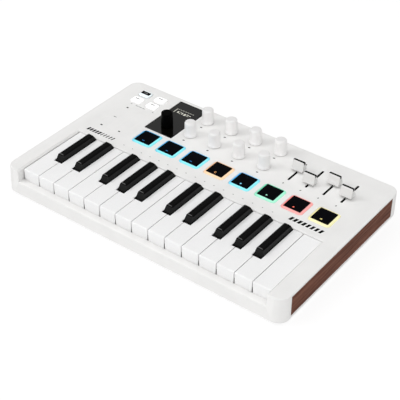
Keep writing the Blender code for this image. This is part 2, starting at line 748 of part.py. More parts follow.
def black_nose():
    """Front of a black key from foot to crest: a hollow foot, a slope and a rounded top."""
    slope = math.radians(BLACK_NOSE_SLOPE)
    foot_z = KEY_TOP_Z + BLACK_NOSE_LIP
    curves = BLACK_NOSE_FILLET + BLACK_NOSE_ROUNDING
    straight = BLACK_CREST_Z - foot_z - curves * (1 - math.cos(slope))
    fillet_y = BLACK_NOSE_Y - curves * math.sin(slope) - straight / math.tan(slope)
    foot = arc((fillet_y, foot_z + BLACK_NOSE_FILLET), BLACK_NOSE_FILLET, -90.0, BLACK_NOSE_SLOPE - 90.0,
               BLACK_NOSE_STEPS)
    top = arc((BLACK_NOSE_Y, BLACK_CREST_Z - BLACK_NOSE_ROUNDING), BLACK_NOSE_ROUNDING,
              BLACK_NOSE_SLOPE + 90.0, 90.0, BLACK_NOSE_STEPS)
    return [(BLACK_FRONT_Y, foot_z)] + foot + top


def black_key_outline():
    """Side outline of a black key in the (y, z) plane."""
    outline = [(BLACK_FRONT_Y, KEY_SOLE_Z)] + black_nose()
    outline += [(BLACK_HEEL_Y, BLACK_CREST_Z), (KEY_STEP_Y, KEY_TOP_Z), (KEY_STEP_Y, KEY_TAIL_Z)]
    outline += pivot_barrel()
    outline += [(PIVOT_Y - PIVOT_RADIUS, PIVOT_Z - PIVOT_RADIUS / 2), (PIVOT_Y - PIVOT_RADIUS, KEY_SOLE_Z)]
    return outline


def black_key_section(x):
    """Cross-section of a black key in the (x, z) plane, drawn in towards its crest."""
    half = [
        (BLACK_HALF_WIDTH, PIVOT_Z - PIVOT_RADIUS * 2),
        (BLACK_HALF_WIDTH, KEY_TOP_Z),
        (BLACK_SHOULDER_HALF_WIDTH, BLACK_SHOULDER_Z),
        (BLACK_CREST_HALF_WIDTH, BLACK_CREST_Z),
        (BLACK_CREST_HALF_WIDTH, BLACK_CREST_Z + WALL),
    ]
    right = [(x + across, up) for across, up in half]
    left = [(x - across, up) for across, up in reversed(half)]
    return right + left


def build_black_keys():
    """Black keys with a sloping nose and tapered flanks."""
    for index, x in enumerate(black_key_centres()):
        placing = Matrix.Translation((x, 0.0, 0.0)) @ FACING_X
        bm = outline_bmesh(black_key_outline(), BLACK_HALF_WIDTH * 3, placing)
        name = f"black_key_{index + 1:02d}"
        key = make_part(name, bm, BLACK_GLOSS, 0.16)
        middle = Matrix.Translation((0.0, (BLACK_FRONT_Y + PIVOT_Y) / 2, 0.0))
        section = outline_bmesh(black_key_section(x), CASE_DEPTH / 2, middle @ FACING_Y)
        apply_tool(key, make_cutter(name + "_section", section), "INTERSECT")
        set_origin(key, (x, PIVOT_Y, PIVOT_Z))


def key_frame_outline():
    """Side outline of the key frame: plate, contact ridge and the trough that holds the key ends."""
    plate_top = FRAME_BASE_Z + FRAME_PLATE
    trough_front = PIVOT_Y - PIVOT_RADIUS - CLEARANCE
    trough_rear = PIVOT_Y + PIVOT_RADIUS + CLEARANCE
    trough_floor = PIVOT_Z - PIVOT_RADIUS - CLEARANCE
    hook_under = PIVOT_Z + PIVOT_RADIUS + CLEARANCE
    lip_top = KEY_SOLE_Z - TROUGH_LIP_DROP
    return [
        (FRAME_FRONT_Y, FRAME_BASE_Z),
        (trough_rear + CHEEK_WALL, FRAME_BASE_Z),
        (trough_rear + CHEEK_WALL, hook_under + TROUGH_HOOK),
        (PIVOT_Y + CLEARANCE, hook_under + TROUGH_HOOK),
        (PIVOT_Y + CLEARANCE, hook_under),
        (trough_rear, hook_under),
        (trough_rear, trough_floor),
        (trough_front, trough_floor),
        (trough_front, lip_top),
        (trough_front - TROUGH_LIP_WIDTH, lip_top),
        (trough_front - TROUGH_LIP_WIDTH, plate_top),
        (RIDGE_Y + RIDGE_DEPTH / 2, plate_top),
        (RIDGE_Y + RIDGE_DEPTH / 2 - RIDGE_SLOPE, RIDGE_Z),
        (RIDGE_Y - RIDGE_DEPTH / 2 + RIDGE_SLOPE, RIDGE_Z),
        (RIDGE_Y - RIDGE_DEPTH / 2, plate_top),
        (FRAME_FRONT_Y, plate_top),
    ]


def build_key_frame():
    """Key bed with a guide post inside every white key."""
    frame = make_part("key_frame", outline_bmesh(key_frame_outline(), FRAME_HALF_WIDTH * 2, FACING_X),
                      FRAME_GREY, 0.6)
    posts = bmesh.new()
    half = FRAME_POST_SIZE / 2
    for index in range(WHITE_KEY_COUNT):
        x = KEYS_LEFT_X + KEY_PITCH * (index + 0.5)
        add_box(posts, (x - half, FRAME_POST_Y - half, FRAME_BASE_Z + FRAME_PLATE / 2),
                (x + half, FRAME_POST_Y + half, FRAME_POST_Z))
    apply_tool(frame, make_cutter("guide_posts", posts), "UNION")


def raise_face(bm, face, growth, rise):
    """Step a level face in or out by a distance and move the stepped copy along Z."""
    middle = face.calc_center_median()
    half = max(vert.co.x - middle.x for vert in face.verts)
    for scale, lift in (((half + growth) / half, 0.0), (1.0, rise)):
        face = bmesh.ops.extrude_discrete_faces(bm, faces=[face])["faces"][0]
        for vert in face.verts:
            vert.co.x = middle.x + (vert.co.x - middle.x) * scale
            vert.co.y = middle.y + (vert.co.y - middle.y) * scale
            vert.co.z += lift
    return face


def build_pads():
    """Square pads with a raised cap, a wider body in the deck opening and a flange under the deck."""
    half = PAD_BODY_SIZE / 2
    for index in range(PAD_COUNT):
        x = pad_x(index)
        bm = bmesh.new()
        add_rounded_box(bm, (x - half, PAD_Y - half, PAD_FLANGE_Z), (x + half, PAD_Y + half, PAD_SHOULDER_Z),
                        PAD_BODY_RADIUS)
        top = max(bm.faces, key=lambda face: face.calc_center_median().z)
        raise_face(bm, top, (PAD_TOP_SIZE - PAD_BODY_SIZE) / 2, PAD_TOP_Z - PAD_SHOULDER_Z)
        bottom = min(bm.faces, key=lambda face: face.calc_center_median().z)
        raise_face(bm, bottom, (PAD_FLANGE_SIZE - PAD_BODY_SIZE) / 2, PAD_SOLE_Z - PAD_FLANGE_Z)
        pad = make_part(f"pad_{index + 1}", bm, PAD_BLACK, 0.55)
        set_origin(pad, (x, PAD_Y, PAD_TOP_Z))


def crown_profile(radius, top, rounding):
    """Profile of a flat top with a rounded edge, from the axis outwards."""
    edge = arc((radius - rounding, top - rounding), rounding, 90.0, 0.0, CROWN_STEPS)
    return [(0.0, top)] + edge


def knob_profile():
    """Half outline of a small knob with its shaft, from the top down to the shaft end."""
    return crown_profile(KNOB_RADIUS - KNOB_DRAFT, KNOB_TOP_Z, KNOB_CROWN_RADIUS) + [
        (KNOB_RADIUS, KNOB_BASE_Z + KNOB_FLARE_HEIGHT),
        (KNOB_SKIRT_RADIUS, KNOB_BASE_Z + KNOB_SKIRT_HEIGHT),
        (KNOB_SKIRT_RADIUS, KNOB_BASE_Z),
        (SHAFT_RADIUS, KNOB_BASE_Z),
        (SHAFT_RADIUS, SHAFT_END_Z),
        (0.0, SHAFT_END_Z),
    ]


def build_knobs():
    """Eight encoder knobs that turn without end."""
    for index, (x, y) in enumerate(knob_centres()):
        turned_part(f"encoder_knob_{index + 1}", knob_profile(), (x, y, KNOB_BASE_Z), KNOB_WHITE, 0.38)


def build_main_encoder():
    """Push-and-turn encoder: a shaft that is pushed and a knob that turns on it."""
    shaft = [
        (0.0, MAIN_SHAFT_TOP_Z),
        (SHAFT_RADIUS, MAIN_SHAFT_TOP_Z),
        (SHAFT_RADIUS, SHAFT_END_Z),
        (0.0, SHAFT_END_Z),
    ]
    turned_part("main_encoder_shaft", shaft, (WINDOW_X, MAIN_Y, SHAFT_END_Z), STEEL, 0.35, 1.0)
    bore = SHAFT_RADIUS + CLEARANCE
    knob = crown_profile(MAIN_KNOB_TOP_RADIUS, MAIN_KNOB_TOP_Z, MAIN_KNOB_CROWN_RADIUS) + [
        (MAIN_KNOB_RADIUS, MAIN_KNOB_BASE_Z),
        (bore, MAIN_KNOB_BASE_Z),
        (bore, MAIN_SHAFT_TOP_Z + CLEARANCE),
        (0.0, MAIN_SHAFT_TOP_Z + CLEARANCE),
    ]
    turned_part("main_encoder_knob", knob, (WINDOW_X, MAIN_Y, MAIN_KNOB_BASE_Z), KNOB_BLACK, 0.35)


def build_display_window():
    """Dark window over the screen, bored for the main encoder."""
    bm = bmesh.new()
    add_rounded_box(
        bm,
        (WINDOW_X - WINDOW_WIDTH / 2, WINDOW_Y - WINDOW_DEPTH / 2, WINDOW_TOP_Z - WINDOW_THICKNESS),
        (WINDOW_X + WINDOW_WIDTH / 2, WINDOW_Y + WINDOW_DEPTH / 2, WINDOW_TOP_Z),
        WINDOW_RADIUS,
    )
    window = make_part("display_window", bm, WINDOW_BLACK, 0.12)
    hole = bmesh.new()
    add_cylinder(hole, (WINDOW_X, MAIN_Y, DECK_Z), MAIN_HOLE_RADIUS, WALL * 2, steps=TURNED_STEPS)
    apply_tool(window, make_cutter("window_hole", hole))


def cap_outline():
    """Side outline of a fader cap in the (y, z) plane, about its own centre."""
    half = [
        (CAP_BASE_DEPTH / 2, CAP_BASE_Z),
        (CAP_BASE_DEPTH / 2 - CAP_FOOT_DRAFT, CAP_BASE_Z + CAP_FOOT_HEIGHT),
        (CAP_TOP_DEPTH / 2 + CAP_CROWN, CAP_TOP_Z - CAP_CROWN),
        (CAP_TOP_DEPTH / 2, CAP_TOP_Z),
    ]
    return half + [(-along, up) for along, up in reversed(half)]


def build_faders():
    """Fader caps, each with the stem that passes through its slot."""
    for index in range(FADER_COUNT):
        x = fader_x(index)
        y = FADER_REST_Y[index]
        bm = outline_bmesh(cap_outline(), CAP_WIDTH, Matrix.Translation((x, y, 0.0)) @ FACING_X)
        ends = [edge for edge in bm.edges if abs(edge.verts[0].co.x - edge.verts[1].co.x) < OVERLAP]
        bmesh.ops.bevel(bm, geom=ends, offset=CAP_EDGE, segments=1, profile=0.5, affect="EDGES")
        name = f"fader_cap_{index + 1}"
        cap = make_part(name, bm, KEY_WHITE, 0.32)
        stem = bmesh.new()
        add_box(stem, (x - STEM_WIDTH / 2, y - STEM_DEPTH / 2, STEM_END_Z),
                (x + STEM_WIDTH / 2, y + STEM_DEPTH / 2, CAP_BASE_Z + CAP_TOP_DEPTH))
        apply_tool(cap, make_cutter(name + "_stem", stem), "UNION")
        set_origin(cap, (x, y, CAP_BASE_Z))


def build_buttons():
    """Four rounded push buttons at the left end of the deck."""
    for name, (x, y) in zip(BUTTON_NAMES, button_centres()):
        bm = bmesh.new()
        add_rounded_box(bm, (x - BUTTON_WIDTH / 2, y - BUTTON_DEPTH / 2, BUTTON_SOLE_Z),
                        (x + BUTTON_WIDTH / 2, y + BUTTON_DEPTH / 2, BUTTON_TOP_Z),
                        BUTTON_RADIUS, segments=BUTTON_CORNER_STEPS)
        rim = [edge for edge in bm.edges if all(vert.co.z > BUTTON_TOP_Z - OVERLAP for vert in edge.verts)]
        bmesh.ops.bevel(bm, geom=rim, offset=BUTTON_EDGE, segments=1, profile=0.5, affect="EDGES")
        button = make_part(name, bm, BUTTON_WHITE, 0.3)
        set_origin(button, (x, y, BUTTON_TOP_Z))


def board_blocks():
    """Everything that stands on or hangs under the circuit board."""
    bm = bmesh.new()
    root = BOARD_TOP_Z - OVERLAP
    half = ENCODER_SIZE / 2
    for x, y in knob_centres() + [(WINDOW_X, MAIN_Y)]:
        add_box(bm, (x - half, y - half, root), (x + half, y + half, ENCODER_TOP_Z))
    half = FADER_BODY_WIDTH / 2
    middle = SLOT_FRONT_Y + SLOT_LENGTH / 2
    for index in range(FADER_COUNT):
        x = fader_x(index)
        add_box(bm, (x - half, middle - FADER_BODY_LENGTH / 2, root),
                (x + half, middle + FADER_BODY_LENGTH / 2, FADER_BODY_TOP_Z))
    half = SENSOR_SIZE / 2
    for index in range(PAD_COUNT):
        x = pad_x(index)
        add_box(bm, (x - half, PAD_Y - half, root), (x + half, PAD_Y + half, SENSOR_TOP_Z))
    half = SWITCH_SIZE / 2
    for x, y in button_centres():
        add_box(bm, (x - half, y - half, root), (x + half, y + half, SWITCH_TOP_Z))
    add_box(bm, (WINDOW_X - SCREEN_WIDTH / 2, SCREEN_Y - SCREEN_DEPTH / 2, root),
            (WINDOW_X + SCREEN_WIDTH / 2, SCREEN_Y + SCREEN_DEPTH / 2, SCREEN_TOP_Z))
    return bm


def socket_blocks():
    """Bodies of the rear sockets under the board."""
    bm = bmesh.new()
    roof = BOARD_TOP_Z - BOARD_THICKNESS + OVERLAP
    inner = CASE_DEPTH / 2 - WALL - CLEARANCE
    for x, width, depth in ((DIN_X, DIN_BLOCK_WIDTH, DIN_BLOCK_WIDTH / 2 + WALL),
                            (JACK_X, JACK_BLOCK_WIDTH, JACK_BLOCK_DEPTH),
                            (USB_X, USB_BLOCK_WIDTH, USB_DEPTH * 2)):
        add_box(bm, (x - width / 2, inner - depth, SOCKET_BOTTOM_Z), (x + width / 2, inner, roof))
    return bm


def socket_noses():
    """Collars that bring the sockets to the outside of the rear wall."""
    bm = bmesh.new()
    root = CASE_DEPTH / 2 - WALL * 2
    length = SOCKET_FACE_Y - root
    middle = (SOCKET_FACE_Y + root) / 2
    add_cylinder(bm, (DIN_X, middle, SOCKET_Z), DIN_RADIUS, length, "Y", DIN_STEPS)
    add_cylinder(bm, (JACK_X, middle, SOCKET_Z), JACK_COLLAR_RADIUS, length, "Y", JACK_STEPS)
    half_width = USB_WIDTH / 2
    half_height = USB_HEIGHT / 2
    add_box(bm, (USB_X - half_width, root, SOCKET_Z - half_height),
            (USB_X + half_width, SOCKET_FACE_Y, SOCKET_Z + half_height))
    return bm


def board_openings():
    """Bores for the shafts, slots for the fader stems and the mouths of the rear sockets."""
    bm = bmesh.new()
    floor = SHAFT_END_Z - SHAFT_END_SPACE
    for x, y in knob_centres() + [(WINDOW_X, MAIN_Y)]:
        add_cylinder(bm, (x, y, floor + ENCODER_SIZE / 2), SHAFT_BORE_RADIUS, ENCODER_SIZE,
                     steps=SHAFT_BORE_STEPS)
    for index in range(FADER_COUNT):
        x = fader_x(index)
        add_box(bm, (x - SLOT_WIDTH / 2, SLOT_FRONT_Y, STEM_END_Z - CLEARANCE),
                (x + SLOT_WIDTH / 2, SLOT_FRONT_Y + SLOT_LENGTH, DECK_Z))
    mouth = SOCKET_FACE_Y + OVERLAP
    add_cylinder(bm, (DIN_X, mouth - DIN_WELL_DEPTH / 2, SOCKET_Z), DIN_WELL_RADIUS, DIN_WELL_DEPTH, "Y",
                 DIN_STEPS)
    add_cylinder(bm, (JACK_X, mouth - JACK_BORE_DEPTH / 2, SOCKET_Z), JACK_BORE_RADIUS, JACK_BORE_DEPTH, "Y",
                 JACK_STEPS)
    half_width = USB_WIDTH / 2 - USB_SHELL
    half_height = USB_HEIGHT / 2 - USB_SHELL
    add_box(bm, (USB_X - half_width, mouth - USB_DEPTH, SOCKET_Z - half_height),
            (USB_X + half_width, mouth, SOCKET_Z + half_height))
    return bm


def build_main_board():
    """Circuit board with the parts soldered to it."""
    bm = bmesh.new()
    add_box(bm, (-BOARD_HALF_WIDTH, BOARD_FRONT_Y, BOARD_TOP_Z - BOARD_THICKNESS),
            (BOARD_HALF_WIDTH, BOARD_REAR_Y, BOARD_TOP_Z))
    board = make_part("main_board", bm, BOARD_GREEN, 0.45)
    apply_tool(board, make_cutter("board_blocks", board_blocks()), "UNION")
    apply_tool(board, make_cutter("socket_blocks", socket_blocks()), "UNION")
    apply_tool(board, make_cutter("socket_noses", socket_noses()), "UNION")
    apply_tool(board, make_cutter("board_openings", board_openings()))


build_top_cover()
build_side_panels()
build_bottom_cover()
build_foot_strips()
build_white_keys()
build_black_keys()
build_key_frame()
build_pads()
build_knobs()
build_main_encoder()
build_display_window()
build_faders()
build_buttons()
build_main_board()
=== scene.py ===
"""Looks of the two-octave MIDI keyboard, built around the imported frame. Metres, +Z up, front at -Y."""

import math

import bmesh
import bpy
from mathutils import Matrix, Vector


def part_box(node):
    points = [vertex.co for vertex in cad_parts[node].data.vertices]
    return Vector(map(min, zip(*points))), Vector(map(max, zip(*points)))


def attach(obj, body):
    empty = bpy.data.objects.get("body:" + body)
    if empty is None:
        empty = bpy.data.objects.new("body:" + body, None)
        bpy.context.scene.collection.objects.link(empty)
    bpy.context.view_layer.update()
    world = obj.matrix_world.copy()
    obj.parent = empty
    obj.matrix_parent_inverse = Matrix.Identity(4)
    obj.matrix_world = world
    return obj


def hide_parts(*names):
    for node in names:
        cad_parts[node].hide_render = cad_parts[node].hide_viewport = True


SMOOTH_ANGLE = math.radians(35.0)

# Straight pieces that make up each curve.
TURNED_STEPS = 64
ROUNDING_STEPS = 6
CHEEK_NOSE_STEPS = 5
PIVOT_STEPS = 10
DOT_STEPS = 24
BORE_STEPS = 12
PIN_STEPS = 20
POCKET_STEPS = 10
SCREW_STEPS = 32
SCREW_ROUNDING_STEPS = 5

# Case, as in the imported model.
DECK_THICKNESS = 0.0024
WALL = 0.0024
SIDE_WALL = 0.0060
CASE_CORNER_RADIUS = 0.012
CASE_TOP_ROUNDING = 0.0011
CASE_FOOT_ROUNDING = 0.0005
FRONT_LEAN = 0.0020
CLEARANCE = 0.0004
OVERLAP = 0.0003
RIM_CHAMFER = 0.00025

# Key well and the lowered front lip.
WELL_LEFT_X = -0.1599
WELL_RIGHT_X = 0.1583
WELL_REAR_Y = -0.0115
WELL_FRONT_Y = -0.10055
LIP_DROP = 0.0144
LIP_THICKNESS = 0.0022
LIP_ROUNDING = 0.0014
CHEEK_WALL = 0.0020
LEFT_CHEEK_CHAMFER = 0.0020
RIGHT_CHEEK_ROUNDING = 0.0014
WELL_REAR_ROUNDING = 0.0022
WELL_RIM_DROP = 0.0016
WELL_RIM_STEPS = 12
CHEEK_NOSE_ROUNDING = 0.0010

# Wood side panels.
PANEL_THICKNESS = 0.0032
PANEL_EDGE = 0.0005

# White keys.
KEY_SKIRT_DEPTH = 0.0013
KEY_SKIRT_DROP = 0.0006
KEY_INSET = 0.0001
KEY_TAPER = 0.0004
KEY_SOLE_DROP = 0.00825
KEY_STEP_Y = -0.0121
KEY_TAIL_DROP = 0.00385
KEY_FRONT_ROUNDING = 0.0013
KEY_EDGE = 0.00035
KEY_ROOF = 0.0024
KEY_HOLLOW_MARGIN = 0.00245
KEY_HOLLOW_REAR_Y = -0.0725
PIVOT_Y = 0.0030
PIVOT_DROP = 0.0085
PIVOT_RADIUS = 0.0024

# Black keys.
BLACK_RIDGE_HALF_WIDTH = 0.0040
BLACK_RIDGE_RISE = 0.0045
BLACK_CREST_HALF_WIDTH = 0.0020
BLACK_CROWN = 0.62
BLACK_NOSE_Y = -0.0618
BLACK_NOSE_SLOPE = 65.0
BLACK_NOSE_FILLET = 0.0024
BLACK_NOSE_ROUNDING = 0.0012
BLACK_NOSE_LIP = 0.00015
BLACK_NOSE_STEPS = 6
BLACK_HEEL_Y = -0.0158
BLACK_EDGE = 0.00018
BLACK_EDGE_ANGLE = 18.0
BLACK_SLOT_MARGIN = 0.0006

# Pads.
PAD_CAP_SIZE = 0.0205
PAD_CAP_RADIUS = 0.0006
PAD_CAP_EDGE = 0.0003
PAD_BODY_SIZE = 0.0252
PAD_BODY_RADIUS = 0.0034
PAD_BODY_EDGE = 0.0005
PAD_RIM_RISE = 0.0002
PAD_CAP_THICKNESS = 0.0006
PAD_CAP_SINK = 0.0001
PAD_SEAM = 0.0002
PAD_FLANGE_DROP = 0.0030
ICON_DROP = 0.0066
ICON_DASH = (0.0013, 0.0007)
ICON_GAP = 0.0008
ICON_HOOK_RADII = (0.0013, 0.0008)
ICON_HOOK_SPAN = (40.0, 320.0)
ICON_HOOK_STEPS = 24
ICON_DOT_RADIUS = 0.0010
ICON_ARROW = (0.0009, 0.0011, 0.0011)
ICON_LONG_BAR = (0.0026, 0.0007)
ICON_SHORT_BAR = (0.0018, 0.0005)
ICON_BAR_RISE = 0.0011
ICON_BODY_SHADE = 0.6
ICON_GLOW = 0.5

# Knobs and the main encoder.
KNOB_RADIUS = 0.0066
KNOB_SKIRT_RADIUS = 0.0073
KNOB_CROWN_RADIUS = 0.0022
KNOB_DRAFT = 0.0001
KNOB_FLARE_HEIGHT = 0.0030
KNOB_FLARE_STEPS = 6
KNOB_FLARE_POWER = 1.6
KNOB_SKIRT_HEIGHT = 0.0008
KNOB_BASE_RISE = 0.0006
KNOB_FOOT_ROUNDING = 0.0002
SHAFT_RADIUS = 0.0030
SHAFT_HOLE_RADIUS = 0.0036
MAIN_TOP_RADIUS = 0.0065
MAIN_CROWN_RADIUS = 0.0012
MAIN_SHAFT_SINK = 0.0052
MAIN_HOLE_RADIUS = 0.0038

# Display window.
WINDOW_RADIUS = 0.0010
WINDOW_EDGE = 0.00025
WINDOW_LEDGE = 0.0022
SCREEN_EDGES = (-0.1000, -0.0765, 0.0822, 0.0904)
SCREEN_LINE = 0.0006
SCREEN_DOTS = 7
SCREEN_DOT_SHARE = 0.75
SCREEN_EDGE_LINE = 0.00084
# Blocks of the screen graphic: centre x, centre y, width, height, corner radius.
SCREEN_BLOCKS = (
    (-0.0955, 0.0850, 0.0022, 0.0034, 0.0010),
    (-0.0926, 0.0866, 0.0024, 0.0008, 0.0003),
    (-0.0926, 0.0834, 0.0024, 0.0008, 0.0003),
    (-0.0897, 0.0850, 0.0018, 0.0034, 0.0008),
    (-0.0860, 0.0846, 0.0026, 0.0040, 0.0004),
    (-0.0826, 0.0862, 0.0026, 0.0014, 0.0003),
    (-0.0822, 0.0838, 0.0040, 0.0006, 0.0002),
    (-0.0792, 0.0858, 0.0020, 0.0012, 0.0003),
)

# Faders.
SLOT_FRONT_Y = 0.0526
SLOT_LENGTH = 0.0356
SLOT_WIDTH = 0.0024
SLOT_HALF = (SLOT_WIDTH / 2, SLOT_LENGTH / 2)
SLOT_RADIUS = SLOT_WIDTH / 3
SLOT_CORNER_STEPS = 4
SLOT_LINER = 0.0002
LINER_DEPTH = 0.0036
CAP_TOP_DEPTH = 0.0026
CAP_FOOT_HEIGHT = 0.0020
CAP_FOOT_DRAFT = 0.0002
CAP_CROWN = 0.0008
CAP_CORNER_RADIUS = 0.0005
CAP_FOOT_EDGE = 0.00015
CAP_CORNER_SHARE = 0.6
CAP_BASE_RISE = 0.0026
CAP_FLANK_STEPS = 5
CAP_FLANK_HOLLOW = CAP_CROWN / 3
CAP_CROWN_STEPS = 4
STEM_WIDTH = 0.0011
STEM_DEPTH = 0.0040
STEM_CORNER = 0.0001
CAP_LINE_WIDTH = 0.0025
CAP_LINE_REACH = 0.0017
CAP_LINE_PROUD = 0.00014
CAP_LINE_STEPS = 6

# Buttons and touch strips.
BUTTON_RADIUS = 0.0026
BUTTON_EDGE = 0.0006
BUTTON_MARK_OFFSET = (-0.0014, 0.0021)
BUTTON_MARK_LENGTH = 0.0060
BUTTON_MARK_WIDTH = 0.0010
SHIFT_PATCH_OFFSET = (-0.0007, 0.0016)
SHIFT_PATCH_HALF = (0.0060, 0.0028)
SHIFT_PATCH_RADIUS = 0.0006
SHIFT_MARK_LENGTH = 0.0048
SHIFT_SHADE_RING = 0.0003
STRIP_COLUMNS_X = (-0.1475, -0.1240)
STRIP_Y = 0.0345
STRIP_WIDTH = 0.0130
STRIP_LENGTH = 0.0500
STRIP_SINK = 0.0001

# Rear sockets.
SOCKET_Z = 0.0155
SOCKET_FACE_Y = 0.1090
SOCKET_DEPTH = 0.0048
DIN_X = 0.0600
DIN_RADIUS = 0.0078
DIN_WELL_DEPTH = 0.0067
DIN_SHIELD_RADII = (0.00635, 0.00604)
DIN_DISC_RADIUS = 0.00601
DIN_DISC_THICKNESS = 0.0006
DIN_PIN_CIRCLE = 0.0036
DIN_PIN_RADIUS = 0.0008
DIN_PIN_STEP = math.radians(45.0)
DIN_PINS = 5
CONTACT_RADIUS = 0.00064
CONTACT_HEIGHT = 0.00003
JACK_X = 0.0900
JACK_COLLAR_RADIUS = 0.0056
JACK_BUSH_RADIUS = 0.004928
JACK_SLEEVE_RADII = (0.00335, 0.00322)
JACK_PROUD = 0.00021
JACK_MOUTH_PROUD = 0.00012
JACK_SINK = 0.0001
BOARD_REAR_Y = 0.1040
BOARD_REAR_BLEND = 0.0002
USB_X = 0.0300
USB_HALF = (0.0044, 0.0015)
USB_SHELL_HALF = (0.00407, 0.00117)
USB_SHELL_RADIUS = 0.0010
USB_SHELL_THICKNESS = 0.00021
USB_TONGUE_HALF = (0.00305, 0.0003)
USB_TONGUE_SINK = 0.0009
USB_TONGUE_EDGE = 0.000075
LOCK_X = 0.1300
LOCK_HALF = (0.0035, 0.0015)
SLOT_CORNER = 0.0006

# Underside.
COVER_THICKNESS = 0.0022
COVER_RIM = 0.0016
COVER_HEIGHT = 0.0038
SCREW_PLACES = [(x, y) for x in (-0.1560, 0.0, 0.1560) for y in (-0.0960, 0.0080, 0.0960)]
SCREW_POCKET_RADIUS = 0.0034
SCREW_DEPTH = 0.0012
SCREW_SINK = 0.0003
SCREW_TURN = math.radians(37.0)
SCREW_HEAD_RADIUS = 0.0029
SCREW_HEAD_HEIGHT = 0.0009
SCREW_HEAD_ROUNDING = 0.0004
CROSS_ARM = 0.001798
CROSS_BLADE = 0.000377
CROSS_DEPTH = 0.00054
FOOT_RADIUS = 0.0050
FOOT_EDGE = 0.0006

# Printed and lit marks.
MARK_SINK = 0.00002
MARK_HEIGHT = 0.00004
KNOB_MARK_DROP = 0.0124
KNOB_MARK_SIZE = (0.0027, 0.0015)
KNOB_MARK_TURN = 20.0
FADER_MARK_DROP = 0.0079
FADER_MARK_SHIFT = -0.0010
FADER_MARK_SIZE = (0.0021, 0.0011)
FADER_MARK_TURN = 60.0
STRIP_MARKS = ((-0.1474, 0.0573), (-0.1480, 0.0127), (-0.1236, 0.0142))
STRIP_MARK_SIZE = (0.0029, 0.0017)
STRIP_LINE = (-0.1467, 0.0343)
STRIP_LINE_SIZE = (0.0040, 0.0007)
SCALE_COUNT = 17
SCALE_FIRST_X = -0.1020
SCALE_LAST_X = 0.0936
SCALE_Y = -0.0029
SCALE_MARK_SIZE = (0.0016, 0.0008)
# Printed labels of the buttons: centre x, centre y, length.
BUTTON_LABELS = (
    (-0.1493, 0.0667, 0.0026), (-0.1410, 0.0666, 0.0042), (-0.1360, 0.0666, 0.0046),
    (-0.1312, 0.0665, 0.0036), (-0.1272, 0.0828, 0.0042), (-0.1226, 0.0828, 0.0038),
    (-0.1180, 0.0665, 0.0022),
)
BUTTON_LABEL_WIDTH = 0.0008
BAR_LEAN = 0.27
# Rows of slanted bars: first and last x, y, height, count, width of the first half, width of the rest.
BAR_ROWS = (
    (-0.1540, -0.1190, -0.0014, 0.0052, 10, 0.0026, 0.0014),
    (0.1145, 0.1495, 0.0, 0.0057, 8, 0.0033, 0.0030),
)

# Lit colours of each pad: pale side of its rim, deep side of its rim, symbol.
AZURE = ((0.28, 0.88, 0.96), (0.03, 0.40, 0.78), (0.02, 0.28, 0.75))
AMBER = ((1.00, 0.74, 0.48), (0.90, 0.52, 0.28), (1.00, 0.45, 0.15))
SKY = ((0.30, 0.88, 0.97), (0.03, 0.40, 0.85), (0.20, 0.65, 0.95))
MINT = ((0.42, 0.93, 0.70), (0.14, 0.72, 0.44), (0.45, 1.00, 0.75))
CORAL = ((0.98, 0.44, 0.42), (0.93, 0.26, 0.24), (1.00, 0.16, 0.10))
LEMON = ((0.98, 0.94, 0.55), (0.88, 0.78, 0.38), (1.00, 0.85, 0.30))
PAD_LOOKS = ((AZURE, "dashes"), (AZURE, "dashes"), (AZURE, "dashes"), (AMBER, "hook"), (SKY, "dot"),
             (MINT, "arrow"), (CORAL, "dot"), (LEMON, "bars"))

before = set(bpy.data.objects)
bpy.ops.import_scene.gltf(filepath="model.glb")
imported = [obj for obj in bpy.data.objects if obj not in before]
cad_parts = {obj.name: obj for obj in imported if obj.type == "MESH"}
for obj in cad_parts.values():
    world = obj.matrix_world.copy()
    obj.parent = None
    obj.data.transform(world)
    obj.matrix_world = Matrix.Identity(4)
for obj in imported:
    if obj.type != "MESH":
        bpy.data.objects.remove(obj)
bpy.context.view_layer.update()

CASE_LOW, CASE_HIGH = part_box("top_cover")
DECK_Z = CASE_HIGH.z
CASE_FLOOR_Z = CASE_LOW.z
LIP_Z = DECK_Z - LIP_DROP
PIVOT_Z = DECK_Z - PIVOT_DROP


# Geometry helpers.

def plan(node):
    """Plan centre and half sizes of a CAD node."""
    low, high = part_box(node)
    return ((low.x + high.x) / 2, (low.y + high.y) / 2), ((high.x - low.x) / 2, (high.y - low.y) / 2)


def grown(half, margin):
    """Half sizes with a margin all round."""
    return (half[0] + margin, half[1] + margin)


def rounded_loop(centre, half, radius, z, steps=6):
    """Points of a rounded rectangle at one height."""
    points = []
    for sign_x, sign_y, start in ((1, 1, 0.0), (-1, 1, 90.0), (-1, -1, 180.0), (1, -1, 270.0)):
        corner_x = centre[0] + sign_x * (half[0] - radius)
        corner_y = centre[1] + sign_y * (half[1] - radius)
        for step in range(steps + 1):
            angle = math.radians(start + 90.0 * step / steps)
            points.append((corner_x + radius * math.cos(angle), corner_y + radius * math.sin(angle), z))
    return points


def rounded_outline(centre, half, radius):
    """Outline of a rounded rectangle."""
    return [point[:2] for point in rounded_loop(centre, half, radius, 0.0)]


def upright_loop(x, half, radius, y, steps=6):
    """Points of a rounded rectangle that faces along Y at the height of the sockets."""
    flat = rounded_loop((x, SOCKET_Z), half, radius, y, steps)
    return [(across, depth, up) for across, up, depth in flat]


def ring_loop(x, z, radius, y, steps=48):
    """Points of an upright circle that faces along Y."""
    return [(x + radius * math.cos(2 * math.pi * step / steps), y,
             z + radius * math.sin(2 * math.pi * step / steps)) for step in range(steps)]


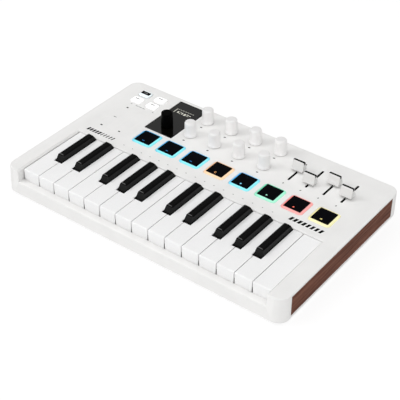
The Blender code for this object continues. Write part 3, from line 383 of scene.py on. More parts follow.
def loft(bm, loops, closed=False):
    """Skin a stack of loops with equal point counts, capped at both ends or closed on itself."""
    rings = [[bm.verts.new(point) for point in loop] for loop in loops]
    ahead = rings[1:] + rings[:1] if closed else rings[1:]
    for lower, upper in zip(rings, ahead):
        for index, vert in enumerate(lower):
            after = (index + 1) % len(lower)
            bm.faces.new((vert, lower[after], upper[after], upper[index]))
    if not closed:
        bm.faces.new(list(reversed(rings[0])))
        bm.faces.new(rings[-1])


def block_loops(centre, half, radius, low, high, rim=0.0, foot=0.0, corner_steps=6, edge_steps=4):
    """Loops of an upright block with rounded corners, a rounded rim and a rounded foot."""
    levels = [(0.0, low)]
    if foot:
        levels = [quarter(foot, step, edge_steps, low, 1) for step in range(edge_steps + 1)]
    if rim:
        levels += [quarter(rim, edge_steps - step, edge_steps, high, -1) for step in range(edge_steps + 1)]
    else:
        levels.append((0.0, high))
    loops = []
    for inset, z in levels:
        size = (half[0] - inset, half[1] - inset)
        loops.append(rounded_loop(centre, size, max(radius - inset, OVERLAP / 10), z, corner_steps))
    return loops


def quarter(radius, step, steps, end, inward):
    """Inset and height of one step of a quarter round that ends on a level face."""
    angle = math.pi / 2 * step / steps
    return radius * (1 - math.sin(angle)), end + inward * radius * (1 - math.cos(angle))


def block(centre, half, radius, low, high, **rounding):
    """A bmesh with one rounded upright block."""
    bm = bmesh.new()
    loft(bm, block_loops(centre, half, radius, low, high, **rounding))
    return bm


def along_x(across, up, depth):
    """Place a (y, z) outline point so that its depth runs along X."""
    return (depth, across, up)


def along_y(across, up, depth):
    """Place an (x, z) outline point so that its depth runs along Y."""
    return (across, depth, up)


def along_z(across, up, depth):
    """Place an (x, y) outline point so that its depth runs along Z."""
    return (across, up, depth)


def prism(bm, outline, place, start, end):
    """Extrude a closed outline between two depths."""
    loft(bm, [[place(across, up, depth) for across, up in outline] for depth in (start, end)])


def add_box(bm, low, high):
    """Add one box between two corners."""
    outline = [(low[0], low[1]), (high[0], low[1]), (high[0], high[1]), (low[0], high[1])]
    prism(bm, outline, along_z, low[2], high[2])


def arc(centre, radius, start, end, steps):
    """Points of an arc between two angles in degrees."""
    points = []
    for step in range(steps + 1):
        angle = math.radians(start + (end - start) * step / steps)
        points.append((centre[0] + radius * math.cos(angle), centre[1] + radius * math.sin(angle)))
    return points


def turned(profile, centre, steps=TURNED_STEPS, axis="Z"):
    """A body of revolution from (radius, height) points, closed on its axis or into a ring."""
    bm = bmesh.new()
    rings = []
    for radius, height in profile:
        count = 1 if radius == 0.0 else steps
        ring = []
        for step in range(count):
            angle = 2 * math.pi * step / steps
            ring.append(bm.verts.new((radius * math.cos(angle), radius * math.sin(angle), height)))
        rings.append(ring)
    if profile[0][0] > 0.0:
        rings.append(rings[0])
    for upper, lower in zip(rings, rings[1:]):
        for step in range(steps):
            after = (step + 1) % steps
            corners = [upper[step % len(upper)], upper[after % len(upper)],
                       lower[after % len(lower)], lower[step % len(lower)]]
            bm.faces.new(list(dict.fromkeys(corners)))
    turn = Matrix.Rotation(-math.pi / 2, 4, "X") if axis == "Y" else Matrix.Identity(4)
    bmesh.ops.transform(bm, matrix=Matrix.Translation(centre) @ turn, verts=bm.verts)
    return bm


def make_mesh(name, bm):
    """Turn a bmesh into a mesh with outward faces."""
    bmesh.ops.recalc_face_normals(bm, faces=bm.faces)
    mesh = bpy.data.meshes.new(name)
    bm.to_mesh(mesh)
    bm.free()
    return mesh


def applied(obj):
    """Give an object the mesh that its modifiers make, and drop the modifiers."""
    bpy.context.view_layer.update()
    evaluated = obj.evaluated_get(bpy.context.evaluated_depsgraph_get())
    mesh = bpy.data.meshes.new_from_object(evaluated)
    obj.modifiers.clear()
    obj.data = mesh


def combine(bm, tool, operation="DIFFERENCE"):
    """The bmesh that an exact Boolean makes of two bmeshes."""
    part = bpy.data.objects.new("work", make_mesh("work", bm))
    cutter = bpy.data.objects.new("tool", make_mesh("tool", tool))
    for obj in (part, cutter):
        bpy.context.scene.collection.objects.link(obj)
    boolean = part.modifiers.new("boolean", "BOOLEAN")
    boolean.operation = operation
    boolean.solver = "EXACT"
    boolean.object = cutter
    applied(part)
    result = bmesh.new()
    result.from_mesh(part.data)
    bpy.data.objects.remove(part, do_unlink=True)
    bpy.data.objects.remove(cutter, do_unlink=True)
    return result


def piece(name, bm, material, body, replaced=(), edge=0.0, edge_steps=3, edge_angle=30.0):
    """A finished piece: shaded, given its material and slot, riding on its body."""
    obj = bpy.data.objects.new(name, make_mesh(name, bm))
    bpy.context.scene.collection.objects.link(obj)
    if edge:
        bevel = obj.modifiers.new("edges", "BEVEL")
        bevel.width = edge
        bevel.segments = edge_steps
        bevel.limit_method = "ANGLE"
        bevel.angle_limit = math.radians(edge_angle)
        applied(obj)
    mesh = obj.data
    mesh.materials.clear()
    mesh.materials.append(material)
    mesh.polygons.foreach_set("use_smooth", [True] * len(mesh.polygons))
    mesh.set_sharp_from_angle(angle=SMOOTH_ANGLE)
    normals = obj.modifiers.new("even_shading", "WEIGHTED_NORMAL")
    normals.keep_sharp = True
    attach(obj, body)
    if replaced:
        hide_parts(*replaced)
    return obj


# Materials. Texture scales are in waves per metre.

def grey(value):
    """A neutral colour."""
    return (value, value, value)


def greys(*stops):
    """Ramp stops from (position, grey value) pairs."""
    return tuple((position, grey(value)) for position, value in stops)


def shade(colour, factor):
    """A colour scaled in brightness."""
    return tuple(min(channel * factor, 1.0) for channel in colour)


def new_material(name):
    """A node material with its Principled shader and a coordinate source."""
    material = bpy.data.materials.new(name)
    material.use_nodes = True
    tree = material.node_tree
    shader = tree.nodes["Principled BSDF"]
    coords = tree.nodes.new("ShaderNodeTexCoord").outputs["Object"]
    return material, tree, shader, coords


def noise(tree, coords, scale, detail=4.0, roughness=0.55):
    """A noise texture in object space, as its factor output."""
    node = tree.nodes.new("ShaderNodeTexNoise")
    node.inputs["Scale"].default_value = scale
    node.inputs["Detail"].default_value = detail
    node.inputs["Roughness"].default_value = roughness
    tree.links.new(coords, node.inputs["Vector"])
    return node.outputs["Fac"]


def remap(tree, value, low, high, from_low=0.3, from_high=0.7):
    """Stretch a value onto a new range."""
    node = tree.nodes.new("ShaderNodeMapRange")
    node.inputs["From Min"].default_value = from_low
    node.inputs["From Max"].default_value = from_high
    node.inputs["To Min"].default_value = low
    node.inputs["To Max"].default_value = high
    tree.links.new(value, node.inputs["Value"])
    return node.outputs["Result"]


def patches(tree, coords, scale, detail=4.0):
    """Soft patches between nought and one."""
    return remap(tree, noise(tree, coords, scale, detail), 0.0, 1.0)


def split(tree, output):
    """The X, Y and Z outputs of a texture coordinate."""
    apart = tree.nodes.new("ShaderNodeSeparateXYZ")
    tree.links.new(tree.nodes.new("ShaderNodeTexCoord").outputs[output], apart.inputs["Vector"])
    return apart.outputs


def stretched(tree, coords, scale):
    """Coordinates scaled by a different factor along each axis."""
    node = tree.nodes.new("ShaderNodeMapping")
    node.inputs["Scale"].default_value = scale
    tree.links.new(coords, node.inputs["Vector"])
    return node.outputs["Vector"]


def ramp(tree, value, stops):
    """A colour ramp over (position, colour) stops."""
    node = tree.nodes.new("ShaderNodeValToRGB")
    elements = node.color_ramp.elements
    while len(elements) < len(stops):
        elements.new(0.5)
    for element, (position, colour) in zip(elements, stops):
        element.position = position
        element.color = (*colour, 1.0)
    tree.links.new(value, node.inputs["Fac"])
    return node.outputs["Color"]


def mix_colour(tree, factor, first, second, blend="MIX"):
    """Mix two colours, each a socket or a plain colour."""
    node = tree.nodes.new("ShaderNodeMix")
    node.data_type = "RGBA"
    node.blend_type = blend
    for socket, value in (("Factor", factor), ("A", first), ("B", second)):
        target = [s for s in node.inputs if s.name == socket and s.enabled][0]
        if isinstance(value, bpy.types.NodeSocket):
            tree.links.new(value, target)
        else:
            target.default_value = value if socket == "Factor" else (*value, 1.0)
    return [s for s in node.outputs if s.name == "Result" and s.enabled][0]


def finish(tree, shader, colour, roughness, specular=0.5):
    """Give a shader its colour and roughness, each from a socket, and a fixed specular level."""
    tree.links.new(colour, shader.inputs["Base Color"])
    tree.links.new(roughness, shader.inputs["Roughness"])
    shader.inputs["Specular IOR Level"].default_value = specular


def bump(tree, shader, height, strength, distance):
    """Drive the shader's normal with a height value."""
    node = tree.nodes.new("ShaderNodeBump")
    node.inputs["Strength"].default_value = strength
    node.inputs["Distance"].default_value = distance
    tree.links.new(height, node.inputs["Height"])
    tree.links.new(node.outputs["Normal"], shader.inputs["Normal"])


def plastic(name, colour, roughness, spread=0.025, grain=2200.0, depth=0.00002, specular=0.5, wear=0.04,
            shaded_top_tone=1.0):
    """Moulded plastic: faint tone drift, spark-eroded grain, handled edges and, if asked, a top darkened
    with painted shade.
    """
    material, tree, shader, coords = new_material(name)
    dull, bright = shade(colour, 1 - spread), shade(colour, 1 + spread)
    base = mix_colour(tree, patches(tree, coords, scale=38.0), dull, bright)
    rim = tree.nodes.new("ShaderNodeNewGeometry").outputs["Pointiness"]
    worn = remap(tree, rim, 0.0, 1.0, from_low=0.52, from_high=0.60)
    tone = mix_colour(tree, worn, base, shade(colour, 1 + wear))
    # Painted shade: faces that point up are darkened towards the shaded top tone, so the top reads darker
    # than the sides.
    if shaded_top_tone != 1.0:
        level = remap(tree, split(tree, "Normal")["Z"], 0.0, 1.0, from_low=0.2, from_high=0.95)
        tone = mix_colour(tree, level, tone, shade(colour, shaded_top_tone))
    fine = noise(tree, coords, grain, detail=2.0)
    finish(tree, shader, tone, remap(tree, fine, roughness - 0.05, roughness + 0.05), specular)
    bump(tree, shader, fine, strength=0.35, distance=depth)
    return material


# Painted tone and gloss of a black key over its height, from its sole to its crest: painted shade at the
# foot, greyer flanks, a dark painted reflection line at each ridge and a near-black crown, standing in for
# how light falls and reflects on each facet.
BLACK_REFLECTION_TONES = greys((0.56, 0.0008), (0.66, 0.0150), (0.90, 0.0190),
                    (0.925, 0.0004), (0.945, 0.0030), (1.0, 0.0040))
BLACK_GLOSSES = greys((0.56, 0.01), (0.66, 0.06), (0.90, 0.07), (0.925, 0.01), (0.945, 0.05), (1.0, 0.05))
# Painted highlight along the upper edge of a black key's nose: by how far it faces forward, and by height.
BLACK_NOSE_HIGHLIGHT = greys((0.22, 0.0), (0.40, 0.12), (0.72, 0.12), (0.86, 0.0))
BLACK_NOSE_HIGHLIGHT_HEIGHT = greys((0.80, 0.0), (0.86, 1.0))


def black_gloss(name):
    """Black key lacquer with painted reflection and shade: a near-black crown, fine dark painted reflection
    lines at the ridges, greyer flanks, painted shade at the foot and a painted highlight on the nose.
    """
    material, tree, shader, coords = new_material(name)
    height = split(tree, "Generated")["Z"]
    forward = remap(tree, split(tree, "Normal")["Y"], 0.0, 1.0, from_low=0.0, from_high=-1.0)
    # Painted highlight: the nose's upper rounding is lightened, by facing and by height.
    bend = ramp(tree, forward, BLACK_NOSE_HIGHLIGHT)
    nose_highlight = mix_colour(tree, 1.0, bend, ramp(tree, height, BLACK_NOSE_HIGHLIGHT_HEIGHT), "MULTIPLY")
    # Painted reflection and shade: the height ramp gives each facet its tone, and the nose gets its painted
    # highlight on top.
    tone = mix_colour(tree, 1.0, ramp(tree, height, BLACK_REFLECTION_TONES), nose_highlight, "ADD")
    uneven = mix_colour(tree, patches(tree, coords, scale=90.0), grey(0.80), grey(1.0))
    fine = noise(tree, coords, scale=2200.0, detail=2.0)
    finish(tree, shader, mix_colour(tree, 1.0, tone, uneven, "MULTIPLY"), remap(tree, fine, 0.24, 0.32))
    tree.links.new(ramp(tree, height, BLACK_GLOSSES), shader.inputs["Specular IOR Level"])
    bump(tree, shader, fine, strength=0.2, distance=0.00001)
    return material


def glow(tree, shader, coords, base, lamp, strength, specular=0.5):
    """Translucent moulding: its own colour, the light through it and a fine satin grain."""
    fine = noise(tree, coords, scale=1800.0, detail=2.0)
    finish(tree, shader, base, remap(tree, fine, 0.34, 0.46), specular)
    tree.links.new(lamp, shader.inputs["Emission Color"])
    shader.inputs["Emission Strength"].default_value = strength
    bump(tree, shader, fine, strength=0.25, distance=0.00002)


def lit_plastic(name, colour, light, strength):
    """Translucent moulding lit from below, a little uneven over its lamps."""
    material, tree, shader, coords = new_material(name)
    drift = patches(tree, coords, scale=130.0, detail=2.0)
    base = mix_colour(tree, drift, shade(colour, 0.95), colour)
    glow(tree, shader, coords, base, mix_colour(tree, drift, shade(light, 0.86), light), strength)
    return material


def lit_rim(name, pale, deep):
    """Translucent pad body lit from below: deep at its rear left, paler towards its front right."""
    material, tree, shader, coords = new_material(name)
    place = split(tree, "Generated")
    across = tree.nodes.new("ShaderNodeMath")
    across.operation = "SUBTRACT"
    tree.links.new(place["X"], across.inputs[0])
    tree.links.new(place["Y"], across.inputs[1])
    share = remap(tree, across.outputs["Value"], 0.0, 1.0, from_low=-0.35, from_high=0.20)
    uneven = mix_colour(tree, patches(tree, coords, scale=130.0, detail=2.0), grey(0.92), grey(1.0))
    lamp = mix_colour(tree, 1.0, mix_colour(tree, share, deep, pale), uneven, "MULTIPLY")
    base = mix_colour(tree, 1.0, lamp, grey(0.60), "MULTIPLY")
    glow(tree, shader, coords, base, lamp, strength=0.5, specular=0.25)
    return material


def smoked_glass(name, colour, roughness):
    """Dark polished window with faint wiping marks."""
    material, tree, shader, coords = new_material(name)
    smear = noise(tree, coords, scale=60.0, detail=6.0)
    tone = mix_colour(tree, remap(tree, smear, 0.0, 1.0), shade(colour, 0.9), shade(colour, 1.1))
    finish(tree, shader, tone, remap(tree, smear, roughness * 0.7, roughness * 1.5), specular=0.75)
    bump(tree, shader, noise(tree, coords, scale=25.0, detail=1.0), strength=0.05, distance=0.00005)
    return material


def metal(name, colour, roughness):
    """Plated or brushed metal with fine streaks."""
    material, tree, shader, coords = new_material(name)
    streak = noise(tree, stretched(tree, coords, (900.0, 60.0, 900.0)), scale=1.0, detail=3.0)
    tone = mix_colour(tree, remap(tree, streak, 0.0, 1.0), shade(colour, 0.88), shade(colour, 1.08))
    finish(tree, shader, tone, remap(tree, streak, roughness - 0.08, roughness + 0.12))
    shader.inputs["Metallic"].default_value = 1.0
    bump(tree, shader, streak, strength=0.2, distance=0.00002)
    return material


def rubber(name, colour):
    """Matt rubber with a coarse, dusty grain."""
    material, tree, shader, coords = new_material(name)
    coarse = noise(tree, coords, scale=700.0, detail=6.0, roughness=0.7)
    dust = remap(tree, noise(tree, coords, scale=55.0), 0.0, 0.35)
    tone = mix_colour(tree, dust, colour, shade(colour, 3.0))
    finish(tree, shader, tone, remap(tree, coarse, 0.78, 0.95), specular=0.3)
    bump(tree, shader, coarse, strength=0.6, distance=0.0001)
    return material


WOOD_DARK = (0.075, 0.026, 0.016)
WOOD_MID = (0.150, 0.056, 0.034)
WOOD_LIGHT = (0.215, 0.088, 0.056)
WOOD_FIGURE = ((0.05, WOOD_DARK), (0.50, WOOD_MID), (1.0, WOOD_LIGHT))
WOOD_CLOUD = ((0.30, WOOD_DARK), (0.55, WOOD_MID), (0.75, WOOD_LIGHT))
WOOD_WAVES = {"Scale": 62.0, "Distortion": 9.0, "Detail": 4.0, "Detail Scale": 2.2}
WOOD_STRETCH = (1.0, 0.075, 1.0)
WOOD_CLOUDINESS = 0.55


def walnut(name):
    """Oiled walnut: long figure along Y, cloudy tone and dark pores."""
    material, tree, shader, coords = new_material(name)
    lengthwise = stretched(tree, coords, WOOD_STRETCH)
    figure = tree.nodes.new("ShaderNodeTexWave")
    figure.wave_type = "BANDS"
    figure.bands_direction = "Z"
    for socket, value in WOOD_WAVES.items():
        figure.inputs[socket].default_value = value
    tree.links.new(lengthwise, figure.inputs["Vector"])
    cloud = noise(tree, lengthwise, scale=95.0, detail=5.0)
    fibre = noise(tree, lengthwise, scale=1500.0, detail=3.0)
    veins = ramp(tree, figure.outputs["Fac"], WOOD_FIGURE)
    tone = mix_colour(tree, WOOD_CLOUDINESS, veins, ramp(tree, cloud, WOOD_CLOUD))
    pores = remap(tree, fibre, 0.0, 0.75, from_low=0.56, from_high=0.72)
    tone = mix_colour(tree, pores, tone, WOOD_DARK)
    finish(tree, shader, tone, remap(tree, fibre, 0.42, 0.62), specular=0.03)
    bump(tree, shader, fibre, strength=0.5, distance=0.00008)
    return material


def board_finish(name):
    """Green solder mask with traces inside the case, black plastic at the rear sockets."""
    material, tree, shader, coords = new_material(name)
    cells = tree.nodes.new("ShaderNodeTexVoronoi")
    cells.feature = "DISTANCE_TO_EDGE"
    cells.inputs["Scale"].default_value = 160.0
    tree.links.new(coords, cells.inputs["Vector"])
    traces = remap(tree, cells.outputs["Distance"], 1.0, 0.0, from_low=0.03, from_high=0.06)
    mask = mix_colour(tree, traces, (0.008, 0.060, 0.030), (0.020, 0.120, 0.055))
    rear = remap(tree, split(tree, "Object")["Y"], 0.0, 1.0, BOARD_REAR_Y, BOARD_REAR_Y + BOARD_REAR_BLEND)
    fine = noise(tree, coords, scale=1600.0, detail=2.0)
    sockets = mix_colour(tree, remap(tree, fine, 0.0, 1.0), (0.010, 0.010, 0.011), (0.018, 0.018, 0.019))
    finish(tree, shader, mix_colour(tree, rear, mask, sockets), remap(tree, fine, 0.35, 0.5))
    bump(tree, shader, fine, strength=0.3, distance=0.00003)
    return material


def printed(name, colour):
    """Screen-printed ink with a slightly broken edge tone."""
    material, tree, shader, coords = new_material(name)
    patch = patches(tree, coords, scale=2500.0, detail=3.0)
    tone = mix_colour(tree, patch, colour, shade(colour, 1.35))
    finish(tree, shader, tone, remap(tree, patch, 0.45, 0.6, 0.0, 1.0), specular=0.08)
    return material


CASE_FINISH = plastic("case_white_finish", (0.800, 0.795, 0.785), 0.46)
KEY_FINISH = plastic("key_white_finish", grey(0.845), 0.30, spread=0.012, depth=0.000008)
BLACK_FINISH = black_gloss("key_black_finish")
CAP_FINISH = plastic("pad_black_finish", (0.0013, 0.0014, 0.0022), 0.50, spread=0.2, grain=1500.0,
                     specular=0.02, wear=0.8)
# Knobs: a very light base colour, with painted shade darkening the top below the sides.
KNOB_FINISH = plastic("knob_white_finish", (0.965, 0.955, 0.950), 0.34, spread=0.012, shaded_top_tone=0.80)
FADER_FINISH = plastic("fader_white_finish", (0.800, 0.795, 0.785), 0.40, spread=0.012)
KNOB_BLACK_FINISH = plastic("knob_black_finish", grey(0.0010), 0.40, spread=0.2, specular=0.02, wear=0.6)
COVER_FINISH = plastic("cover_grey_finish", (0.62, 0.62, 0.61), 0.58, grain=1400.0, depth=0.00004)
FRAME_FINISH = plastic("frame_grey_finish", (0.045, 0.045, 0.048), 0.6, spread=0.1)
BUTTON_FINISH = lit_plastic("button_white_finish", grey(0.86), grey(1.0), 0.30)
SHIFT_FINISH = lit_plastic("shift_button_finish", (0.80, 0.86, 0.88), (0.82, 0.96, 1.0), 0.22)
WINDOW_FINISH = smoked_glass("window_black_finish", (0.0022, 0.0019, 0.0014), 0.05)
STEEL_FINISH = metal("steel_finish", (0.56, 0.56, 0.57), 0.32)
SCREW_FINISH = metal("screw_finish", (0.10, 0.10, 0.105), 0.42)
RUBBER_FINISH = rubber("rubber_dark_finish", grey(0.020))
# Near-black rubber for the liners in the fader slots and around the shift button: a dark sheet standing in
# for the shade in those gaps.
SHADE_LINER_FINISH = rubber("painted_shade_liner_finish", grey(0.0010))
WALNUT_FINISH = walnut("walnut_finish")
BOARD_FINISH = board_finish("board_green_finish")
INK_FINISH = printed("ink_dark_finish", (0.0020, 0.0020, 0.0022))
BUTTON_INK_FINISH = printed("ink_button_finish", grey(0.06))
FAINT_INK_FINISH = printed("ink_grey_finish", grey(0.22))
SCREEN_FINISH = lit_plastic("screen_graphic_finish", (0.22, 0.22, 0.19), (0.62, 0.61, 0.54), 0.75)


# Case.

def lean_front(bm):
    """Lean the front wall back towards the deck."""
    for vert in bm.verts:
        if vert.co.y < 0.0:
            vert.co.y += FRONT_LEAN * (vert.co.z - CASE_FLOOR_Z) / (DECK_Z - CASE_FLOOR_Z)


def case_body():
    """Outer form of the upper case."""
    bm = block((0.0, 0.0), (CASE_HIGH.x, CASE_HIGH.y), CASE_CORNER_RADIUS, CASE_FLOOR_Z, DECK_Z,
               rim=CASE_TOP_ROUNDING, foot=CASE_FOOT_ROUNDING, corner_steps=14, edge_steps=5)
    lean_front(bm)
    return bm


def case_hollow():
    """Space under the deck."""
    half = (CASE_HIGH.x - SIDE_WALL, CASE_HIGH.y - WALL)
    bm = block((0.0, 0.0), half, CASE_CORNER_RADIUS - SIDE_WALL, CASE_FLOOR_Z - OVERLAP,
               DECK_Z - DECK_THICKNESS)
    lean_front(bm)
    return bm


def cheek_walls():
    """Walls beside the keys."""
    bm = bmesh.new()
    for left, right in ((WELL_LEFT_X - CHEEK_WALL, WELL_LEFT_X), (WELL_RIGHT_X, WELL_RIGHT_X + CHEEK_WALL)):
        add_box(bm, (left, CASE_LOW.y + WALL - OVERLAP, LIP_Z - LIP_THICKNESS * 2),
                (right, WELL_REAR_Y, DECK_Z - OVERLAP * 2))
    return bm


def lip_plate():
    """Ledge between the cheeks in front of the keys."""
    bm = bmesh.new()
    add_box(bm, (WELL_LEFT_X - CHEEK_WALL / 2, CASE_LOW.y + WALL, LIP_Z - LIP_THICKNESS),
            (WELL_RIGHT_X + CHEEK_WALL / 2, WELL_FRONT_Y + OVERLAP, LIP_Z + OVERLAP))
    return bm


def front_wall_y(z):
    """Outer face of the leaning front wall at a height."""
    return CASE_LOW.y + FRONT_LEAN * (z - CASE_FLOOR_Z) / (DECK_Z - CASE_FLOOR_Z)


def well_opening():
    """The well over the keys, open towards the front above the rounded lip."""
    front = CASE_LOW.y - WALL
    wall_y = front_wall_y(LIP_Z)
    centre = (wall_y + LIP_ROUNDING, LIP_Z - LIP_ROUNDING)
    rounding = arc(centre, LIP_ROUNDING, 180.0, 90.0, ROUNDING_STEPS)
    outline = [(front, LIP_Z - LIP_ROUNDING)] + rounding + [
        (WELL_FRONT_Y, LIP_Z),
        (WELL_FRONT_Y, LIP_Z - LIP_THICKNESS * 2),
        (WELL_REAR_Y, LIP_Z - LIP_THICKNESS * 2),
        (WELL_REAR_Y, DECK_Z + WALL),
        (front, DECK_Z + WALL),
    ]
    bm = bmesh.new()
    prism(bm, outline, along_x, WELL_LEFT_X, WELL_RIGHT_X)
    return bm


def well_rim():
    """Rounding of the well's edges, a slope on the left, which ends level with the keys."""
    front = CASE_LOW.y - WALL
    loops = []
    for step in range(WELL_RIM_STEPS + 2):
        angle = math.pi / 2 * min(step, WELL_RIM_STEPS) / WELL_RIM_STEPS
        reach = 1 - math.cos(angle)
        left = WELL_LEFT_X - LEFT_CHEEK_CHAMFER * math.sin(angle)
        right = WELL_RIGHT_X + RIGHT_CHEEK_ROUNDING * reach
        rear = WELL_REAR_Y + WELL_REAR_ROUNDING * reach
        z = DECK_Z - WELL_RIM_DROP * (1 - math.sin(angle)) + (WALL if step > WELL_RIM_STEPS else 0.0)
        loops.append([(right, rear, z), (left, rear, z), (left, front, z), (right, front, z)])
    bm = bmesh.new()
    loft(bm, loops)
    return bm


def cheek_noses():
    """Rounding of the upright front edges of the cheeks."""
    bm = bmesh.new()
    radius = CHEEK_NOSE_ROUNDING
    outer = front_wall_y(LIP_Z)
    for side, wall_x in ((-1, WELL_LEFT_X), (1, WELL_RIGHT_X)):
        centre_x = wall_x + side * radius
        start, end = (180.0, 270.0) if side > 0 else (0.0, -90.0)
        outline = arc((centre_x, outer + radius), radius, start, end, CHEEK_NOSE_STEPS)
        outline += [(centre_x, outer - WALL), (wall_x - side * OVERLAP, outer - WALL),
                    (wall_x - side * OVERLAP, outer + radius)]
        low = [(x, y, LIP_Z) for x, y in outline]
        high = [(x, y + front_wall_y(DECK_Z + WALL) - outer, DECK_Z + WALL) for x, y in outline]
        loft(bm, [low, high])
    return bm


def slot_centre(cap):
    """Plan centre of the slot that a fader cap runs along."""
    return (plan(cap)[0][0], SLOT_FRONT_Y + SLOT_LENGTH / 2)


def opening_loops(centre, half, radius, floor, steps=6):
    """Loops of a deck opening with a small chamfer at the deck."""
    wide = grown(half, RIM_CHAMFER)
    return [
        rounded_loop(centre, half, radius, floor, steps),
        rounded_loop(centre, half, radius, DECK_Z - RIM_CHAMFER, steps),
        rounded_loop(centre, wide, radius + RIM_CHAMFER, DECK_Z, steps),
        rounded_loop(centre, wide, radius + RIM_CHAMFER, DECK_Z + WALL, steps),
    ]


def nodes(start="", end=""):
    """Names of the CAD nodes with a given start and end, in order."""
    return sorted(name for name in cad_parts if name.startswith(start) and name.endswith(end))


PADS = nodes("pad_")
KNOBS = nodes("encoder_knob_")
CAPS = nodes("fader_cap_")
BUTTONS = nodes(end="_button")
WHITE_KEYS = nodes("white_key_")
BLACK_KEYS = nodes("black_key_")
FEET = nodes("foot_strip_")


def deck_openings():
    """Through openings for pads, shafts, fader stems, buttons and the window ledge."""
    floor = DECK_Z - DECK_THICKNESS - WALL
    bm = bmesh.new()
    pad = PAD_BODY_SIZE / 2 + CLEARANCE
    hole = SHAFT_HOLE_RADIUS
    for name in PADS:
        loft(bm, opening_loops(plan(name)[0], (pad, pad), PAD_BODY_RADIUS + CLEARANCE, floor))
    for name in KNOBS:
        loft(bm, opening_loops(plan(name)[0], (hole, hole), hole, floor))
    for name in CAPS:
        loft(bm, opening_loops(slot_centre(name), SLOT_HALF, SLOT_RADIUS, floor, SLOT_CORNER_STEPS))
    for name in BUTTONS:
        centre, half = plan(name)
        loft(bm, opening_loops(centre, grown(half, CLEARANCE), BUTTON_RADIUS + CLEARANCE, floor))
    centre, half = plan("display_window")
    half = grown(half, -WINDOW_LEDGE)
    add_box(bm, (centre[0] - half[0], centre[1] - half[1], floor),
            (centre[0] + half[0], centre[1] + half[1], DECK_Z + WALL))
    return bm


def deck_recesses():
    """Shallow recesses for the display window and the touch strips."""
    bm = bmesh.new()
    centre, half = plan("display_window")
    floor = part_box("display_window")[0].z - CLEARANCE
    loft(bm, opening_loops(centre, grown(half, CLEARANCE / 2), WINDOW_RADIUS, floor))
    for x in STRIP_COLUMNS_X:
        half = (STRIP_WIDTH / 2, STRIP_LENGTH / 2)
        heights = (DECK_Z - STRIP_SINK, DECK_Z + WALL)
        loft(bm, [rounded_loop((x, STRIP_Y), half, BUTTON_RADIUS, z) for z in heights])
    return bm


def wall_openings():
    """Recesses for the side panels and the holes over the rear sockets."""
    bm = bmesh.new()
    low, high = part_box("side_panel_right")
    recess = CASE_HIGH.x - PANEL_THICKNESS - CLEARANCE
    for side in (-1, 1):
        inner, outer = sorted((side * recess, side * (CASE_HIGH.x + WALL)))
        add_box(bm, (inner, low.y - CLEARANCE / 2, low.z - CLEARANCE / 2),
                (outer, high.y + CLEARANCE / 2, high.z + CLEARANCE / 2))
    rear = CASE_HIGH.y
    steps = ((rear - SOCKET_DEPTH, 0.0), (rear - RIM_CHAMFER, 0.0),
             (rear, RIM_CHAMFER), (rear + WALL, RIM_CHAMFER))
    for x, radius in ((DIN_X, DIN_RADIUS), (JACK_X, JACK_COLLAR_RADIUS)):
        loft(bm, [ring_loop(x, SOCKET_Z, radius + CLEARANCE + extra, y) for y, extra in steps])
    for x, half in ((USB_X, grown(USB_HALF, 2 * CLEARANCE)), (LOCK_X, LOCK_HALF)):
        loft(bm, [upright_loop(x, grown(half, extra), SLOT_CORNER + extra, y) for y, extra in steps])
    return bm


def build_case():
    """Upper case in one moulding."""
    bm = combine(case_body(), case_hollow())
    bm = combine(bm, cheek_walls(), "UNION")
    bm = combine(bm, lip_plate(), "UNION")
    for tool in (well_opening, well_rim, cheek_noses, deck_openings, deck_recesses, wall_openings):
        bm = combine(bm, tool())
    piece("case_shell", bm, CASE_FINISH, "case", ["top_cover"])


def build_side_panels():
    """Wood panels let into both side walls."""
    for name in ("side_panel_left", "side_panel_right"):
        low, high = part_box(name)
        bm = bmesh.new()
        add_box(bm, low, high)
        piece(name + "_wood", bm, WALNUT_FINISH, "case", [name], edge=PANEL_EDGE, edge_steps=4)


# Keys.

def white_key_outline(low, high):
    """Side outline of a white key in the (y, z) plane."""
    top = high.z
    sole = top - KEY_SOLE_DROP
    barrel = arc((PIVOT_Y, PIVOT_Z), PIVOT_RADIUS, 90.0, -90.0, PIVOT_STEPS)
    bend = (low.y + KEY_FRONT_ROUNDING, top - KEY_FRONT_ROUNDING)
    nose = arc(bend, KEY_FRONT_ROUNDING, 180.0, 90.0, ROUNDING_STEPS)
    heel = PIVOT_Y - PIVOT_RADIUS
    skirt = low.y + KEY_SKIRT_DEPTH
    foot = LIP_Z - KEY_SKIRT_DROP
    return ([(low.y, foot)] + nose + [(KEY_STEP_Y, top), (KEY_STEP_Y, top - KEY_TAIL_DROP)] + barrel
            + [(heel, PIVOT_Z - PIVOT_RADIUS / 2), (heel, sole), (skirt, sole), (skirt, foot)])


def taper_key(bm, low, high):
    """Draw the sides of a white key inwards towards its foot, save the outer sides of the row."""
    middle = (low.x + high.x) / 2
    outer = WELL_RIGHT_X - 2 * CLEARANCE
    for vert in bm.verts:
        if abs(vert.co.x) > outer:
            continue
        share = (high.z - vert.co.z) / (high.z - low.z)
        inset = KEY_INSET + KEY_TAPER * share
        vert.co.x += math.copysign(inset, middle - vert.co.x)


